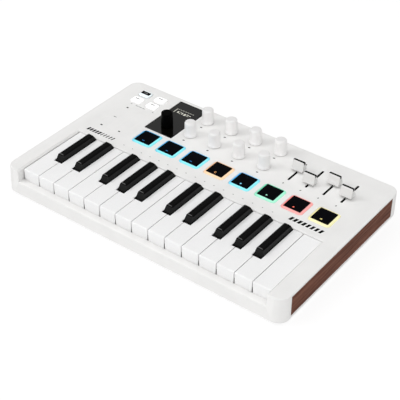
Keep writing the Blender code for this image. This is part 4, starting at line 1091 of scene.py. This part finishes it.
def build_white_keys():
    """White keys with rounded edges, cut out beside the black keys and hollow under the front."""
    for name in WHITE_KEYS:
        low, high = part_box(name)
        bm = bmesh.new()
        prism(bm, white_key_outline(low, high), along_x, low.x, high.x)
        slots = bmesh.new()
        for black in BLACK_KEYS:
            near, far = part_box(black)
            if near.x < high.x and far.x > low.x:
                add_box(slots, (near.x - BLACK_SLOT_MARGIN, near.y - BLACK_SLOT_MARGIN, PIVOT_Z - WALL * 2),
                        (far.x + BLACK_SLOT_MARGIN, PIVOT_Y + WALL * 2, DECK_Z))
        if slots.verts:
            bm = combine(bm, slots)
        hollow = bmesh.new()
        add_box(hollow, (low.x + KEY_HOLLOW_MARGIN, low.y + KEY_SKIRT_DEPTH, low.z - WALL),
                (high.x - KEY_HOLLOW_MARGIN, KEY_HOLLOW_REAR_Y, high.z - KEY_ROOF))
        bm = combine(bm, hollow)
        taper_key(bm, low, high)
        piece(name + "_cap", bm, KEY_FINISH, name, [name], edge=KEY_EDGE)


def black_nose(low, high, key_top):
    """Front of a black key from foot to crest: a hollow foot, a slope and a rounded top."""
    slope = math.radians(BLACK_NOSE_SLOPE)
    foot_z = key_top + BLACK_NOSE_LIP
    curves = BLACK_NOSE_FILLET + BLACK_NOSE_ROUNDING
    straight = high.z - foot_z - curves * (1 - math.cos(slope))
    fillet_y = BLACK_NOSE_Y - curves * math.sin(slope) - straight / math.tan(slope)
    foot, top = (fillet_y, foot_z + BLACK_NOSE_FILLET), (BLACK_NOSE_Y, high.z - BLACK_NOSE_ROUNDING)
    return ([(low.y, foot_z)]
            + arc(foot, BLACK_NOSE_FILLET, -90.0, BLACK_NOSE_SLOPE - 90.0, BLACK_NOSE_STEPS)
            + arc(top, BLACK_NOSE_ROUNDING, BLACK_NOSE_SLOPE + 90.0, 90.0, BLACK_NOSE_STEPS))


def black_key_outline(low, high, key_top):
    """Side outline of a black key in the (y, z) plane."""
    sole = key_top - KEY_SOLE_DROP
    nose = black_nose(low, high, key_top)
    barrel = arc((PIVOT_Y, PIVOT_Z), PIVOT_RADIUS, 90.0, -90.0, PIVOT_STEPS)
    heel = PIVOT_Y - PIVOT_RADIUS
    return ([(low.y, sole)] + nose + [(BLACK_HEEL_Y, high.z), (KEY_STEP_Y, key_top),
            (KEY_STEP_Y, key_top - KEY_TAIL_DROP)] + barrel
            + [(heel, PIVOT_Z - PIVOT_RADIUS / 2), (heel, sole)])


def build_black_keys():
    """Black keys with a sloping nose, a low crown and crisp ridges."""
    key_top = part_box(WHITE_KEYS[0])[1].z
    for name in BLACK_KEYS:
        low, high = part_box(name)
        middle = (low.x + high.x) / 2
        wide = (high.x - low.x) / 2
        bm = bmesh.new()
        prism(bm, black_key_outline(low, high, key_top), along_x, low.x - WALL, high.x + WALL)
        ridge_z = DECK_Z + BLACK_RIDGE_RISE
        crown_z = ridge_z + (high.z - ridge_z) * BLACK_CROWN
        half = [(wide, low.z - WALL), (wide, key_top), (BLACK_RIDGE_HALF_WIDTH, ridge_z),
                ((BLACK_RIDGE_HALF_WIDTH + BLACK_CREST_HALF_WIDTH) / 2, crown_z),
                (BLACK_CREST_HALF_WIDTH, high.z), (BLACK_CREST_HALF_WIDTH, high.z + WALL)]
        section = bmesh.new()
        outline = [(middle + across, up) for across, up in half]
        outline += [(middle - across, up) for across, up in reversed(half)]
        prism(section, outline, along_y, low.y - WALL, high.y + WALL)
        bm = combine(bm, section, "INTERSECT")
        piece(name + "_cap", bm, BLACK_FINISH, name, [name], edge=BLACK_EDGE,
              edge_angle=BLACK_EDGE_ANGLE)


# Controls.

def flat_shape(bm, outline, base):
    """Add a thin closed shape that stands a hair proud of a level face."""
    prism(bm, outline, along_z, base - MARK_SINK, base + MARK_HEIGHT)


def dash(centre, length, width, turn=0.0):
    """Outline of a bar with round ends."""
    half, radius = length / 2 - width / 2, width / 2
    points = arc((half, 0.0), radius, -90.0, 90.0, ROUNDING_STEPS)
    points += arc((-half, 0.0), radius, 90.0, 270.0, ROUNDING_STEPS)
    cos, sin = math.cos(math.radians(turn)), math.sin(math.radians(turn))
    return [(centre[0] + x * cos - y * sin, centre[1] + x * sin + y * cos) for x, y in points]


def dot(centre, radius):
    """Outline of a disc."""
    return arc(centre, radius, 0.0, 360.0 - 360.0 / DOT_STEPS, DOT_STEPS - 1)


def pad_icon(kind, centre):
    """Outlines of one small generic symbol near the front of a pad."""
    x, y = centre[0], centre[1] - ICON_DROP
    if kind == "dashes":
        return [dash((x + side * ICON_GAP, y), *ICON_DASH) for side in (-1, 1)]
    if kind == "hook":
        outer, inner = (arc((x, y), radius, *ICON_HOOK_SPAN, ICON_HOOK_STEPS) for radius in ICON_HOOK_RADII)
        return [outer + list(reversed(inner))]
    if kind == "dot":
        return [dot((x, y), ICON_DOT_RADIUS)]
    if kind == "arrow":
        back, half, tip = ICON_ARROW
        return [[(x - back, y - half), (x + tip, y), (x - back, y + half)]]
    return [dash((x, y), *ICON_LONG_BAR), dash((x, y + ICON_BAR_RISE), *ICON_SHORT_BAR)]


def build_pads():
    """Pads: a lit translucent body, a black cap and a lit symbol."""
    body = (PAD_BODY_SIZE / 2, PAD_BODY_SIZE / 2)
    top = (PAD_CAP_SIZE / 2, PAD_CAP_SIZE / 2)
    inner = grown(top, PAD_SEAM)
    flange_z, rim_z = DECK_Z - PAD_FLANGE_DROP, DECK_Z + PAD_RIM_RISE
    for name, ((pale, deep, symbol), kind) in zip(PADS, PAD_LOOKS):
        low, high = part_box(name)
        centre, flange = plan(name)
        shoulder = high.z - PAD_CAP_THICKNESS
        loops = block_loops(centre, flange, PAD_BODY_RADIUS, low.z, flange_z)
        loops += block_loops(centre, body, PAD_BODY_RADIUS, flange_z, rim_z, rim=PAD_BODY_EDGE)
        loops.append(rounded_loop(centre, inner, PAD_CAP_RADIUS + PAD_SEAM, shoulder))
        bm = bmesh.new()
        loft(bm, loops)
        piece(name + "_light", bm, lit_rim(f"{name}_rim_finish", pale, deep), name, [name])
        sole = shoulder - PAD_CAP_SINK
        cap = block(centre, top, PAD_CAP_RADIUS, sole, high.z, rim=PAD_CAP_EDGE, corner_steps=4)
        piece(name + "_cap", cap, CAP_FINISH, name, [name])
        icon = bmesh.new()
        for outline in pad_icon(kind, centre):
            flat_shape(icon, outline, high.z)
        light = lit_plastic(f"{name}_symbol_finish", shade(symbol, ICON_BODY_SHADE), symbol, ICON_GLOW)
        piece(name + "_symbol", icon, light, name)


def crown(radius, top, rounding, steps=8):
    """Profile of a flat top with a rounded edge, from the axis outwards."""
    return [(0.0, top)] + arc((radius - rounding, top - rounding), rounding, 90.0, 0.0, steps)


def foot_profile(radius, base, rounding, steps=3):
    """Profile of a small rounded foot, from the side inwards."""
    return arc((radius - rounding, base + rounding), rounding, 0.0, -90.0, steps)


def build_knobs():
    """Small knobs with a rounded crown and a flared skirt."""
    for name in KNOBS:
        low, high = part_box(name)
        base = DECK_Z + KNOB_BASE_RISE
        profile = crown(KNOB_RADIUS - KNOB_DRAFT, high.z, KNOB_CROWN_RADIUS)
        for step in range(KNOB_FLARE_STEPS + 1):
            share = step / KNOB_FLARE_STEPS
            radius = KNOB_RADIUS + (KNOB_SKIRT_RADIUS - KNOB_RADIUS) * share ** KNOB_FLARE_POWER
            height = KNOB_FLARE_HEIGHT + (KNOB_SKIRT_HEIGHT - KNOB_FLARE_HEIGHT) * share
            profile.append((radius, base + height))
        profile += foot_profile(KNOB_SKIRT_RADIUS, base, KNOB_FOOT_ROUNDING)
        profile += [(SHAFT_RADIUS, base), (SHAFT_RADIUS, low.z), (0.0, low.z)]
        x, y = plan(name)[0]
        piece(name + "_cap", turned(profile, (x, y, 0.0)), KNOB_FINISH, name, [name])


def build_main_encoder():
    """Black knob of the main encoder, hollow around its shaft."""
    name = "main_encoder_knob"
    low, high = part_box(name)
    (x, y), half = plan(name)
    bore = SHAFT_RADIUS + CLEARANCE
    ceiling = high.z - MAIN_SHAFT_SINK + CLEARANCE
    profile = crown(MAIN_TOP_RADIUS, high.z, MAIN_CROWN_RADIUS)
    profile += foot_profile(half[0], low.z, KNOB_FOOT_ROUNDING)
    profile += [(bore, low.z), (bore, ceiling), (0.0, ceiling)]
    piece("main_encoder_cap", turned(profile, (x, y, 0.0)), KNOB_BLACK_FINISH, name, [name])


def build_window():
    """Dark window with polished edges, bored for the main encoder."""
    name = "display_window"
    low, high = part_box(name)
    centre, half = plan(name)
    bm = block(centre, half, WINDOW_RADIUS, low.z, high.z, rim=WINDOW_EDGE)
    place = plan("main_encoder_knob")[0]
    radius = MAIN_HOLE_RADIUS
    ends = (low.z - WALL, high.z + WALL)
    hole = bmesh.new()
    loft(hole, [rounded_loop(place, (radius, radius), radius, z, BORE_STEPS) for z in ends])
    piece("window_glass", combine(bm, hole), WINDOW_FINISH, "case", [name])


def build_screen_graphic():
    """Generic lit graphic on the screen: a dotted line, an edge line and a few blocks."""
    graphic = bmesh.new()
    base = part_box("display_window")[1].z
    left, right, front, rear = SCREEN_EDGES
    pitch = (right - left) / SCREEN_DOTS
    for index in range(SCREEN_DOTS):
        across = left + pitch * (index + 0.5)
        flat_shape(graphic, dash((across, rear), pitch * SCREEN_DOT_SHARE, SCREEN_LINE), base)
    flat_shape(graphic, dash((left, (front + rear) / 2), rear - front, SCREEN_EDGE_LINE, 90.0), base)
    for x, y, width, height, radius in SCREEN_BLOCKS:
        flat_shape(graphic, rounded_outline((x, y), (width / 2, height / 2), radius), base)
    piece("screen_graphic", graphic, SCREEN_FINISH, "case")


def cap_levels(half_depth, base, top):
    """Half depth, height and inset of a fader cap's loops: a foot, hollowed flanks and a rounded crest."""
    foot_depth, foot_z = half_depth - CAP_FOOT_DRAFT, base + CAP_FOOT_HEIGHT
    neck = CAP_TOP_DEPTH / 2 + CAP_CROWN
    levels = [
        (half_depth - CAP_FOOT_EDGE, base, CAP_FOOT_EDGE),
        (half_depth, base + CAP_FOOT_EDGE, 0.0),
        (foot_depth, foot_z, 0.0),
    ]
    for row in range(1, CAP_FLANK_STEPS + 1):
        share = row / CAP_FLANK_STEPS
        hollow = CAP_FLANK_HOLLOW * math.sin(math.pi * share)
        depth = foot_depth * (1 - share) + neck * share - hollow
        levels.append((depth, foot_z * (1 - share) + (top - CAP_CROWN) * share, 0.0))
    for step in range(1, CAP_CROWN_STEPS + 1):
        inset, z = quarter(CAP_CROWN, CAP_CROWN_STEPS - step, CAP_CROWN_STEPS, top, -1)
        levels.append((neck - inset, z, inset))
    return levels


def build_faders():
    """Fader caps with their stems and a dark line over the top."""
    stem = (STEM_WIDTH / 2, STEM_DEPTH / 2)
    for name in CAPS:
        low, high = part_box(name)
        centre, half = plan(name)
        base = DECK_Z + CAP_BASE_RISE
        loops = [rounded_loop(centre, stem, STEM_CORNER, z) for z in (low.z, base)]
        for depth, z, inset in cap_levels(half[1], base, high.z):
            radius = min(CAP_CORNER_RADIUS, depth * CAP_CORNER_SHARE)
            loops.append(rounded_loop(centre, (half[0] - inset, depth), radius, z))
        bm = bmesh.new()
        loft(bm, loops)
        piece(name + "_grip", bm, FADER_FINISH, name, [name])
        build_fader_line(name, centre, half[0], high.z)


def build_fader_line(name, centre, half_width, top):
    """Dark line over the crest of a fader cap, wrapped down both ends."""
    foot = top - CAP_CROWN - CAP_LINE_REACH
    outline = []
    for proud, turn in ((CAP_LINE_PROUD, 1), (-OVERLAP, -1)):
        for side in (turn, -turn):
            end = centre[0] + side * half_width
            bend = (end - side * CAP_CROWN, top - CAP_CROWN)
            run = [(end + side * proud, foot)]
            run += arc(bend, CAP_CROWN + proud, 0.0 if side > 0 else 180.0, 90.0, CAP_LINE_STEPS)
            outline += run if side == turn else run[::-1]
    bm = bmesh.new()
    prism(bm, outline, along_y, centre[1] - CAP_LINE_WIDTH / 2, centre[1] + CAP_LINE_WIDTH / 2)
    piece(name + "_line", bm, INK_FINISH, name)


def add_liner(bm, centre, half, radius, thickness, steps=6):
    """Add a thin upright ring that lines an opening of the deck."""
    top, foot = DECK_Z - RIM_CHAMFER, DECK_Z - LINER_DEPTH
    corners = ((MARK_SINK, top), (MARK_SINK, foot), (thickness, foot), (thickness, top))
    loft(bm, [rounded_loop(centre, grown(half, -inset), radius - inset, z, steps)
              for inset, z in corners], True)


def build_slot_shade_liners():
    """Dark liners just inside the fader slots: painted shade that makes the slots read dark."""
    shade_liners = bmesh.new()
    for name in CAPS:
        add_liner(shade_liners, slot_centre(name), SLOT_HALF, SLOT_RADIUS, SLOT_LINER, SLOT_CORNER_STEPS)
    piece("fader_slot_shade_liners", shade_liners, SHADE_LINER_FINISH, "case")


def build_buttons():
    """Bright push buttons with small generic marks, one of them with a dark patch."""
    for name in BUTTONS:
        low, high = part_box(name)
        centre, half = plan(name)
        shift = name == "shift_button"
        bm = block(centre, half, BUTTON_RADIUS, low.z, high.z, rim=BUTTON_EDGE, corner_steps=8)
        piece(name + "_cap", bm, SHIFT_FINISH if shift else BUTTON_FINISH, name, [name])
        offset = SHIFT_PATCH_OFFSET if shift else BUTTON_MARK_OFFSET
        middle = (centre[0] + offset[0], centre[1] + offset[1])
        mark = bmesh.new()
        if shift:
            patch = bmesh.new()
            flat_shape(patch, rounded_outline(middle, SHIFT_PATCH_HALF, SHIFT_PATCH_RADIUS), high.z)
            piece(name + "_patch", patch, INK_FINISH, name)
            flat_shape(mark, dash(middle, SHIFT_MARK_LENGTH, BUTTON_MARK_WIDTH), high.z + MARK_HEIGHT)
        else:
            flat_shape(mark, dash(middle, BUTTON_MARK_LENGTH, BUTTON_MARK_WIDTH), high.z)
        piece(name + "_mark", mark, FAINT_INK_FINISH if shift else BUTTON_INK_FINISH, name)


def build_shift_shade_ring():
    """Dark ring in the gap around the shift button: painted shade that darkens the gap."""
    centre, half = plan("shift_button")
    ring_of_shade = bmesh.new()
    add_liner(ring_of_shade, centre, grown(half, CLEARANCE), BUTTON_RADIUS + CLEARANCE, SHIFT_SHADE_RING)
    piece("shift_button_shade_ring", ring_of_shade, SHADE_LINER_FINISH, "case")


# Printed marks on the deck.

def slanted_bar(x, y, width, height):
    """Outline of an upright bar that leans to the right."""
    lean = height / 2 * BAR_LEAN
    foot, top = y - height / 2, y + height / 2
    return [(x - width / 2 - lean, foot), (x + width / 2 - lean, foot),
            (x + width / 2 + lean, top), (x - width / 2 + lean, top)]


def build_deck_marks():
    """Generic printed marks beside the controls, with no lettering."""
    dark = bmesh.new()
    for name in KNOBS:
        x, y = plan(name)[0]
        flat_shape(dark, dash((x, y - KNOB_MARK_DROP), *KNOB_MARK_SIZE, KNOB_MARK_TURN), DECK_Z)
    for name in CAPS:
        centre = (plan(name)[0][0] + FADER_MARK_SHIFT, SLOT_FRONT_Y - FADER_MARK_DROP)
        flat_shape(dark, dash(centre, *FADER_MARK_SIZE, FADER_MARK_TURN), DECK_Z)
    for x, y in STRIP_MARKS:
        flat_shape(dark, dash((x, y), *STRIP_MARK_SIZE), DECK_Z)
    flat_shape(dark, dash(STRIP_LINE, *STRIP_LINE_SIZE), DECK_Z - STRIP_SINK)
    piece("control_marks", dark, INK_FINISH, "case")

    faint = bmesh.new()
    for index in range(SCALE_COUNT):
        x = SCALE_FIRST_X + (SCALE_LAST_X - SCALE_FIRST_X) * index / (SCALE_COUNT - 1)
        flat_shape(faint, dash((x, SCALE_Y), *SCALE_MARK_SIZE), DECK_Z)
    for x, y, length in BUTTON_LABELS:
        flat_shape(faint, dash((x, y), length, BUTTON_LABEL_WIDTH), DECK_Z)
    piece("scale_marks", faint, FAINT_INK_FINISH, "case")

    bold = bmesh.new()
    for first, last, y, height, count, heavy, light in BAR_ROWS:
        for index in range(count):
            width = heavy if index * 2 < count else light
            x = first + (last - first) * index / (count - 1)
            flat_shape(bold, slanted_bar(x, y, width, height), DECK_Z)
    piece("bold_marks", bold, INK_FINISH, "case")


# Rear sockets and the underside.

def add_disc(bm, x, z, radius, rear, front, steps=48):
    """Add a flat round plug that faces along Y."""
    loft(bm, [ring_loop(x, z, radius, y, steps) for y in (rear, front)])


def build_din_socket():
    """Shield, insulator and contacts of the round socket."""
    floor = SOCKET_FACE_Y - DIN_WELL_DEPTH
    outer, inner = DIN_SHIELD_RADII
    lip = SOCKET_FACE_Y - OVERLAP
    profile = [(outer, floor), (outer, lip), (inner, lip), (inner, floor)]
    shield = turned(profile, (DIN_X, 0.0, SOCKET_Z), axis="Y")
    piece("din_shield", shield, STEEL_FINISH, "case")
    front = floor + DIN_DISC_THICKNESS
    disc, holes, contacts = bmesh.new(), bmesh.new(), bmesh.new()
    add_disc(disc, DIN_X, SOCKET_Z, DIN_DISC_RADIUS, floor, front)
    for index in range(DIN_PINS):
        x = DIN_X + DIN_PIN_CIRCLE * math.cos(DIN_PIN_STEP * index)
        z = SOCKET_Z + DIN_PIN_CIRCLE * math.sin(DIN_PIN_STEP * index)
        hole_floor = front - OVERLAP
        add_disc(holes, x, z, DIN_PIN_RADIUS, hole_floor, front + OVERLAP, PIN_STEPS)
        add_disc(contacts, x, z, CONTACT_RADIUS, hole_floor, hole_floor + CONTACT_HEIGHT, PIN_STEPS)
    piece("din_insulator", combine(disc, holes), FRAME_FINISH, "case")
    piece("din_contacts", contacts, STEEL_FINISH, "case")


def build_jack_and_usb():
    """Bush of the round jack, and the shell and tongue of the small flat socket."""
    face, rear = SOCKET_FACE_Y, SOCKET_FACE_Y - SOCKET_DEPTH
    outer, inner = JACK_SLEEVE_RADII
    bush = [(JACK_BUSH_RADIUS, face + JACK_PROUD), (JACK_BUSH_RADIUS, face - JACK_SINK),
            (outer, face - JACK_SINK), (outer, rear), (inner, rear), (inner, face + JACK_MOUTH_PROUD),
            (outer, face + JACK_PROUD)]
    piece("jack_bush", turned(bush, (JACK_X, 0.0, SOCKET_Z), axis="Y"), STEEL_FINISH, "case")
    across, up = USB_TONGUE_HALF
    tongue = bmesh.new()
    add_box(tongue, (USB_X - across, rear, SOCKET_Z - up),
            (USB_X + across, face - USB_TONGUE_SINK, SOCKET_Z + up))
    piece("usb_tongue", tongue, FRAME_FINISH, "case", edge=USB_TONGUE_EDGE, edge_steps=2)
    shell = bmesh.new()
    corners = ((0.0, rear), (0.0, face), (USB_SHELL_THICKNESS, face), (USB_SHELL_THICKNESS, rear))
    loft(shell, [upright_loop(USB_X, grown(USB_SHELL_HALF, -inset), USB_SHELL_RADIUS - inset, y)
                 for inset, y in corners], True)
    piece("usb_shell", shell, STEEL_FINISH, "case")


def build_bottom():
    """Bottom cover with pockets for its screws and for the rubber strips."""
    low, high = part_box("bottom_cover")
    rim_z = low.z + COVER_HEIGHT
    half = (high.x, high.y)
    radius = CASE_CORNER_RADIUS - SIDE_WALL
    bm = block((0.0, 0.0), half, radius, low.z, rim_z, foot=CASE_FOOT_ROUNDING, corner_steps=8)
    inside, floor_z = grown(half, -COVER_RIM), low.z + COVER_THICKNESS
    bm = combine(bm, block((0.0, 0.0), inside, radius - COVER_RIM, floor_z, rim_z + WALL))
    pockets = bmesh.new()
    size = (SCREW_POCKET_RADIUS, SCREW_POCKET_RADIUS)
    for place in SCREW_PLACES:
        loft(pockets, [rounded_loop(place, size, SCREW_POCKET_RADIUS, z, POCKET_STEPS)
                       for z in (low.z - SCREW_DEPTH, low.z + SCREW_DEPTH)])
    for name in FEET:
        centre, size = plan(name)
        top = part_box(name)[1].z + OVERLAP
        size = grown(size, CLEARANCE)
        loft(pockets, block_loops(centre, size, FOOT_RADIUS + CLEARANCE, low.z - SCREW_DEPTH, top))
    piece("bottom_plate", combine(bm, pockets), COVER_FINISH, "case", ["bottom_cover"])


def screw_pattern():
    """A rounded screw head with a cross cut into it, its top at zero height."""
    head = crown(SCREW_HEAD_RADIUS, 0.0, SCREW_HEAD_ROUNDING, SCREW_ROUNDING_STEPS)
    head += [(SCREW_HEAD_RADIUS, -SCREW_HEAD_HEIGHT), (0.0, -SCREW_HEAD_HEIGHT)]
    outline = []
    for cos, sin in ((1, 0), (0, 1), (-1, 0), (0, -1)):
        for x, y in ((CROSS_ARM, -CROSS_BLADE), (CROSS_ARM, CROSS_BLADE), (CROSS_BLADE, CROSS_BLADE)):
            outline.append((x * cos - y * sin, x * sin + y * cos))
    cross = bmesh.new()
    prism(cross, outline, along_z, -CROSS_DEPTH, SCREW_DEPTH)
    return combine(turned(head, (0.0, 0.0, 0.0), SCREW_STEPS), cross)


def build_screws_and_feet():
    """Screws of the bottom cover, each turned a little further, and the rubber strips."""
    pattern = screw_pattern()
    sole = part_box("bottom_cover")[0].z
    for count, (x, y) in enumerate(SCREW_PLACES, 1):
        screw = pattern.copy()
        place = Matrix.Translation((x, y, sole + SCREW_SINK)) @ Matrix.Rotation(math.pi, 4, "X")
        spin = Matrix.Rotation(SCREW_TURN * count, 4, "Z")
        bmesh.ops.transform(screw, matrix=place @ spin, verts=screw.verts)
        piece(f"cover_screw_{count}", screw, SCREW_FINISH, "case")
    pattern.free()
    for name in FEET:
        low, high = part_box(name)
        centre, size = plan(name)
        foot = block(centre, size, FOOT_RADIUS, low.z, high.z, foot=FOOT_EDGE, corner_steps=10)
        piece(name + "_rubber", foot, RUBBER_FINISH, "case", [name])


def finish_kept_nodes():
    """Give the CAD nodes that stay visible their finishes."""
    for name, material in (("key_frame", FRAME_FINISH), ("main_board", BOARD_FINISH),
                           ("main_encoder_shaft", STEEL_FINISH)):
        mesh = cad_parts[name].data
        mesh.materials.clear()
        mesh.materials.append(material)


# Studio.

CAMERA_PLACE = Vector((0.5653, -0.7537, 0.7231))
CAMERA_AIM = Vector((-0.4765, 0.6353, -0.6078))
CAMERA_UP = Vector((-0.3691, 0.4829, 0.7941))
LENS = 100.17
SENSOR = 36.0
CLIP_RANGE = (0.01, 50.0)
FLOOR_REACH = 12.0
FLOOR_TONES = (0.20, 0.24)
FLOOR_GLOW = 0.80
FLOOR_ROUGHNESS = 0.9
WORLD_TONES = greys((0.12, 0.30), (0.28, 0.40), (0.46, 0.40), (0.62, 0.30))
# Soft boxes that face the origin: name, place, size, power.
LIGHTS = (
    ("key_light", (-1.5, -1.1, 1.9), 1.0, 18.0),
    ("top_light", (0.1, 0.2, 2.4), 2.4, 35.0),
    ("fill_light", (0.9, -1.9, 0.7), 1.2, 13.0),
)


def build_camera():
    """The camera at the photographed angle."""
    data = bpy.data.cameras.new("camera")
    data.lens = LENS
    data.sensor_width = SENSOR
    data.clip_start, data.clip_end = CLIP_RANGE
    camera = bpy.data.objects.new("camera", data)
    bpy.context.scene.collection.objects.link(camera)
    back = -CAMERA_AIM.normalized()
    right = CAMERA_UP.cross(back).normalized()
    up = back.cross(right)
    turn = Matrix((right, up, back)).transposed().to_4x4()
    camera.matrix_world = Matrix.Translation(CAMERA_PLACE) @ turn
    bpy.context.scene.camera = camera


def build_floor():
    """A plain pale floor."""
    material, tree, shader, coords = new_material("floor_finish")
    tone = patches(tree, coords, scale=3.0)
    dark, pale = (grey(level) for level in FLOOR_TONES)
    tree.links.new(mix_colour(tree, tone, dark, pale), shader.inputs["Base Color"])
    shader.inputs["Roughness"].default_value = FLOOR_ROUGHNESS
    shader.inputs["Specular IOR Level"].default_value = 0.0
    shader.inputs["Emission Color"].default_value = (1.0, 1.0, 1.0, 1.0)
    shader.inputs["Emission Strength"].default_value = FLOOR_GLOW
    bm = bmesh.new()
    corners = ((-1, -1), (1, -1), (1, 1), (-1, 1))
    bm.faces.new([bm.verts.new((x * FLOOR_REACH, y * FLOOR_REACH, 0.0)) for x, y in corners])
    floor = bpy.data.objects.new("floor", make_mesh("floor", bm))
    floor.data.materials.append(material)
    bpy.context.scene.collection.objects.link(floor)


def build_world():
    """Soft, even studio surround, a little brighter in a band above the horizon."""
    world = bpy.data.worlds.new("studio")
    bpy.context.scene.world = world
    world.use_nodes = True
    tree = world.node_tree
    background = tree.nodes["Background"]
    height = split(tree, "Generated")["Z"]
    tree.links.new(ramp(tree, height, WORLD_TONES), background.inputs["Color"])
    background.inputs["Strength"].default_value = 1.0


def build_lights():
    """Soft key from the left front, a wide box overhead and a low fill from the right front."""
    for name, place, size, power in LIGHTS:
        data = bpy.data.lights.new(name, "AREA")
        data.shape = "SQUARE"
        data.size = size
        data.energy = power
        lamp = bpy.data.objects.new(name, data)
        bpy.context.scene.collection.objects.link(lamp)
        aim = (-Vector(place)).to_track_quat("-Z", "Y").to_matrix().to_4x4()
        lamp.matrix_world = Matrix.Translation(place) @ aim


bpy.context.scene.view_settings.view_transform = "Standard"
build_camera()
build_floor()
build_world()
build_lights()
build_case()
build_side_panels()
build_white_keys()
build_black_keys()
build_pads()
build_knobs()
build_main_encoder()
build_window()
build_screen_graphic()
build_faders()
build_slot_shade_liners()
build_buttons()
build_shift_shade_ring()
build_deck_marks()
build_din_socket()
build_jack_and_usb()
build_bottom()
build_screws_and_feet()
finish_kept_nodes()
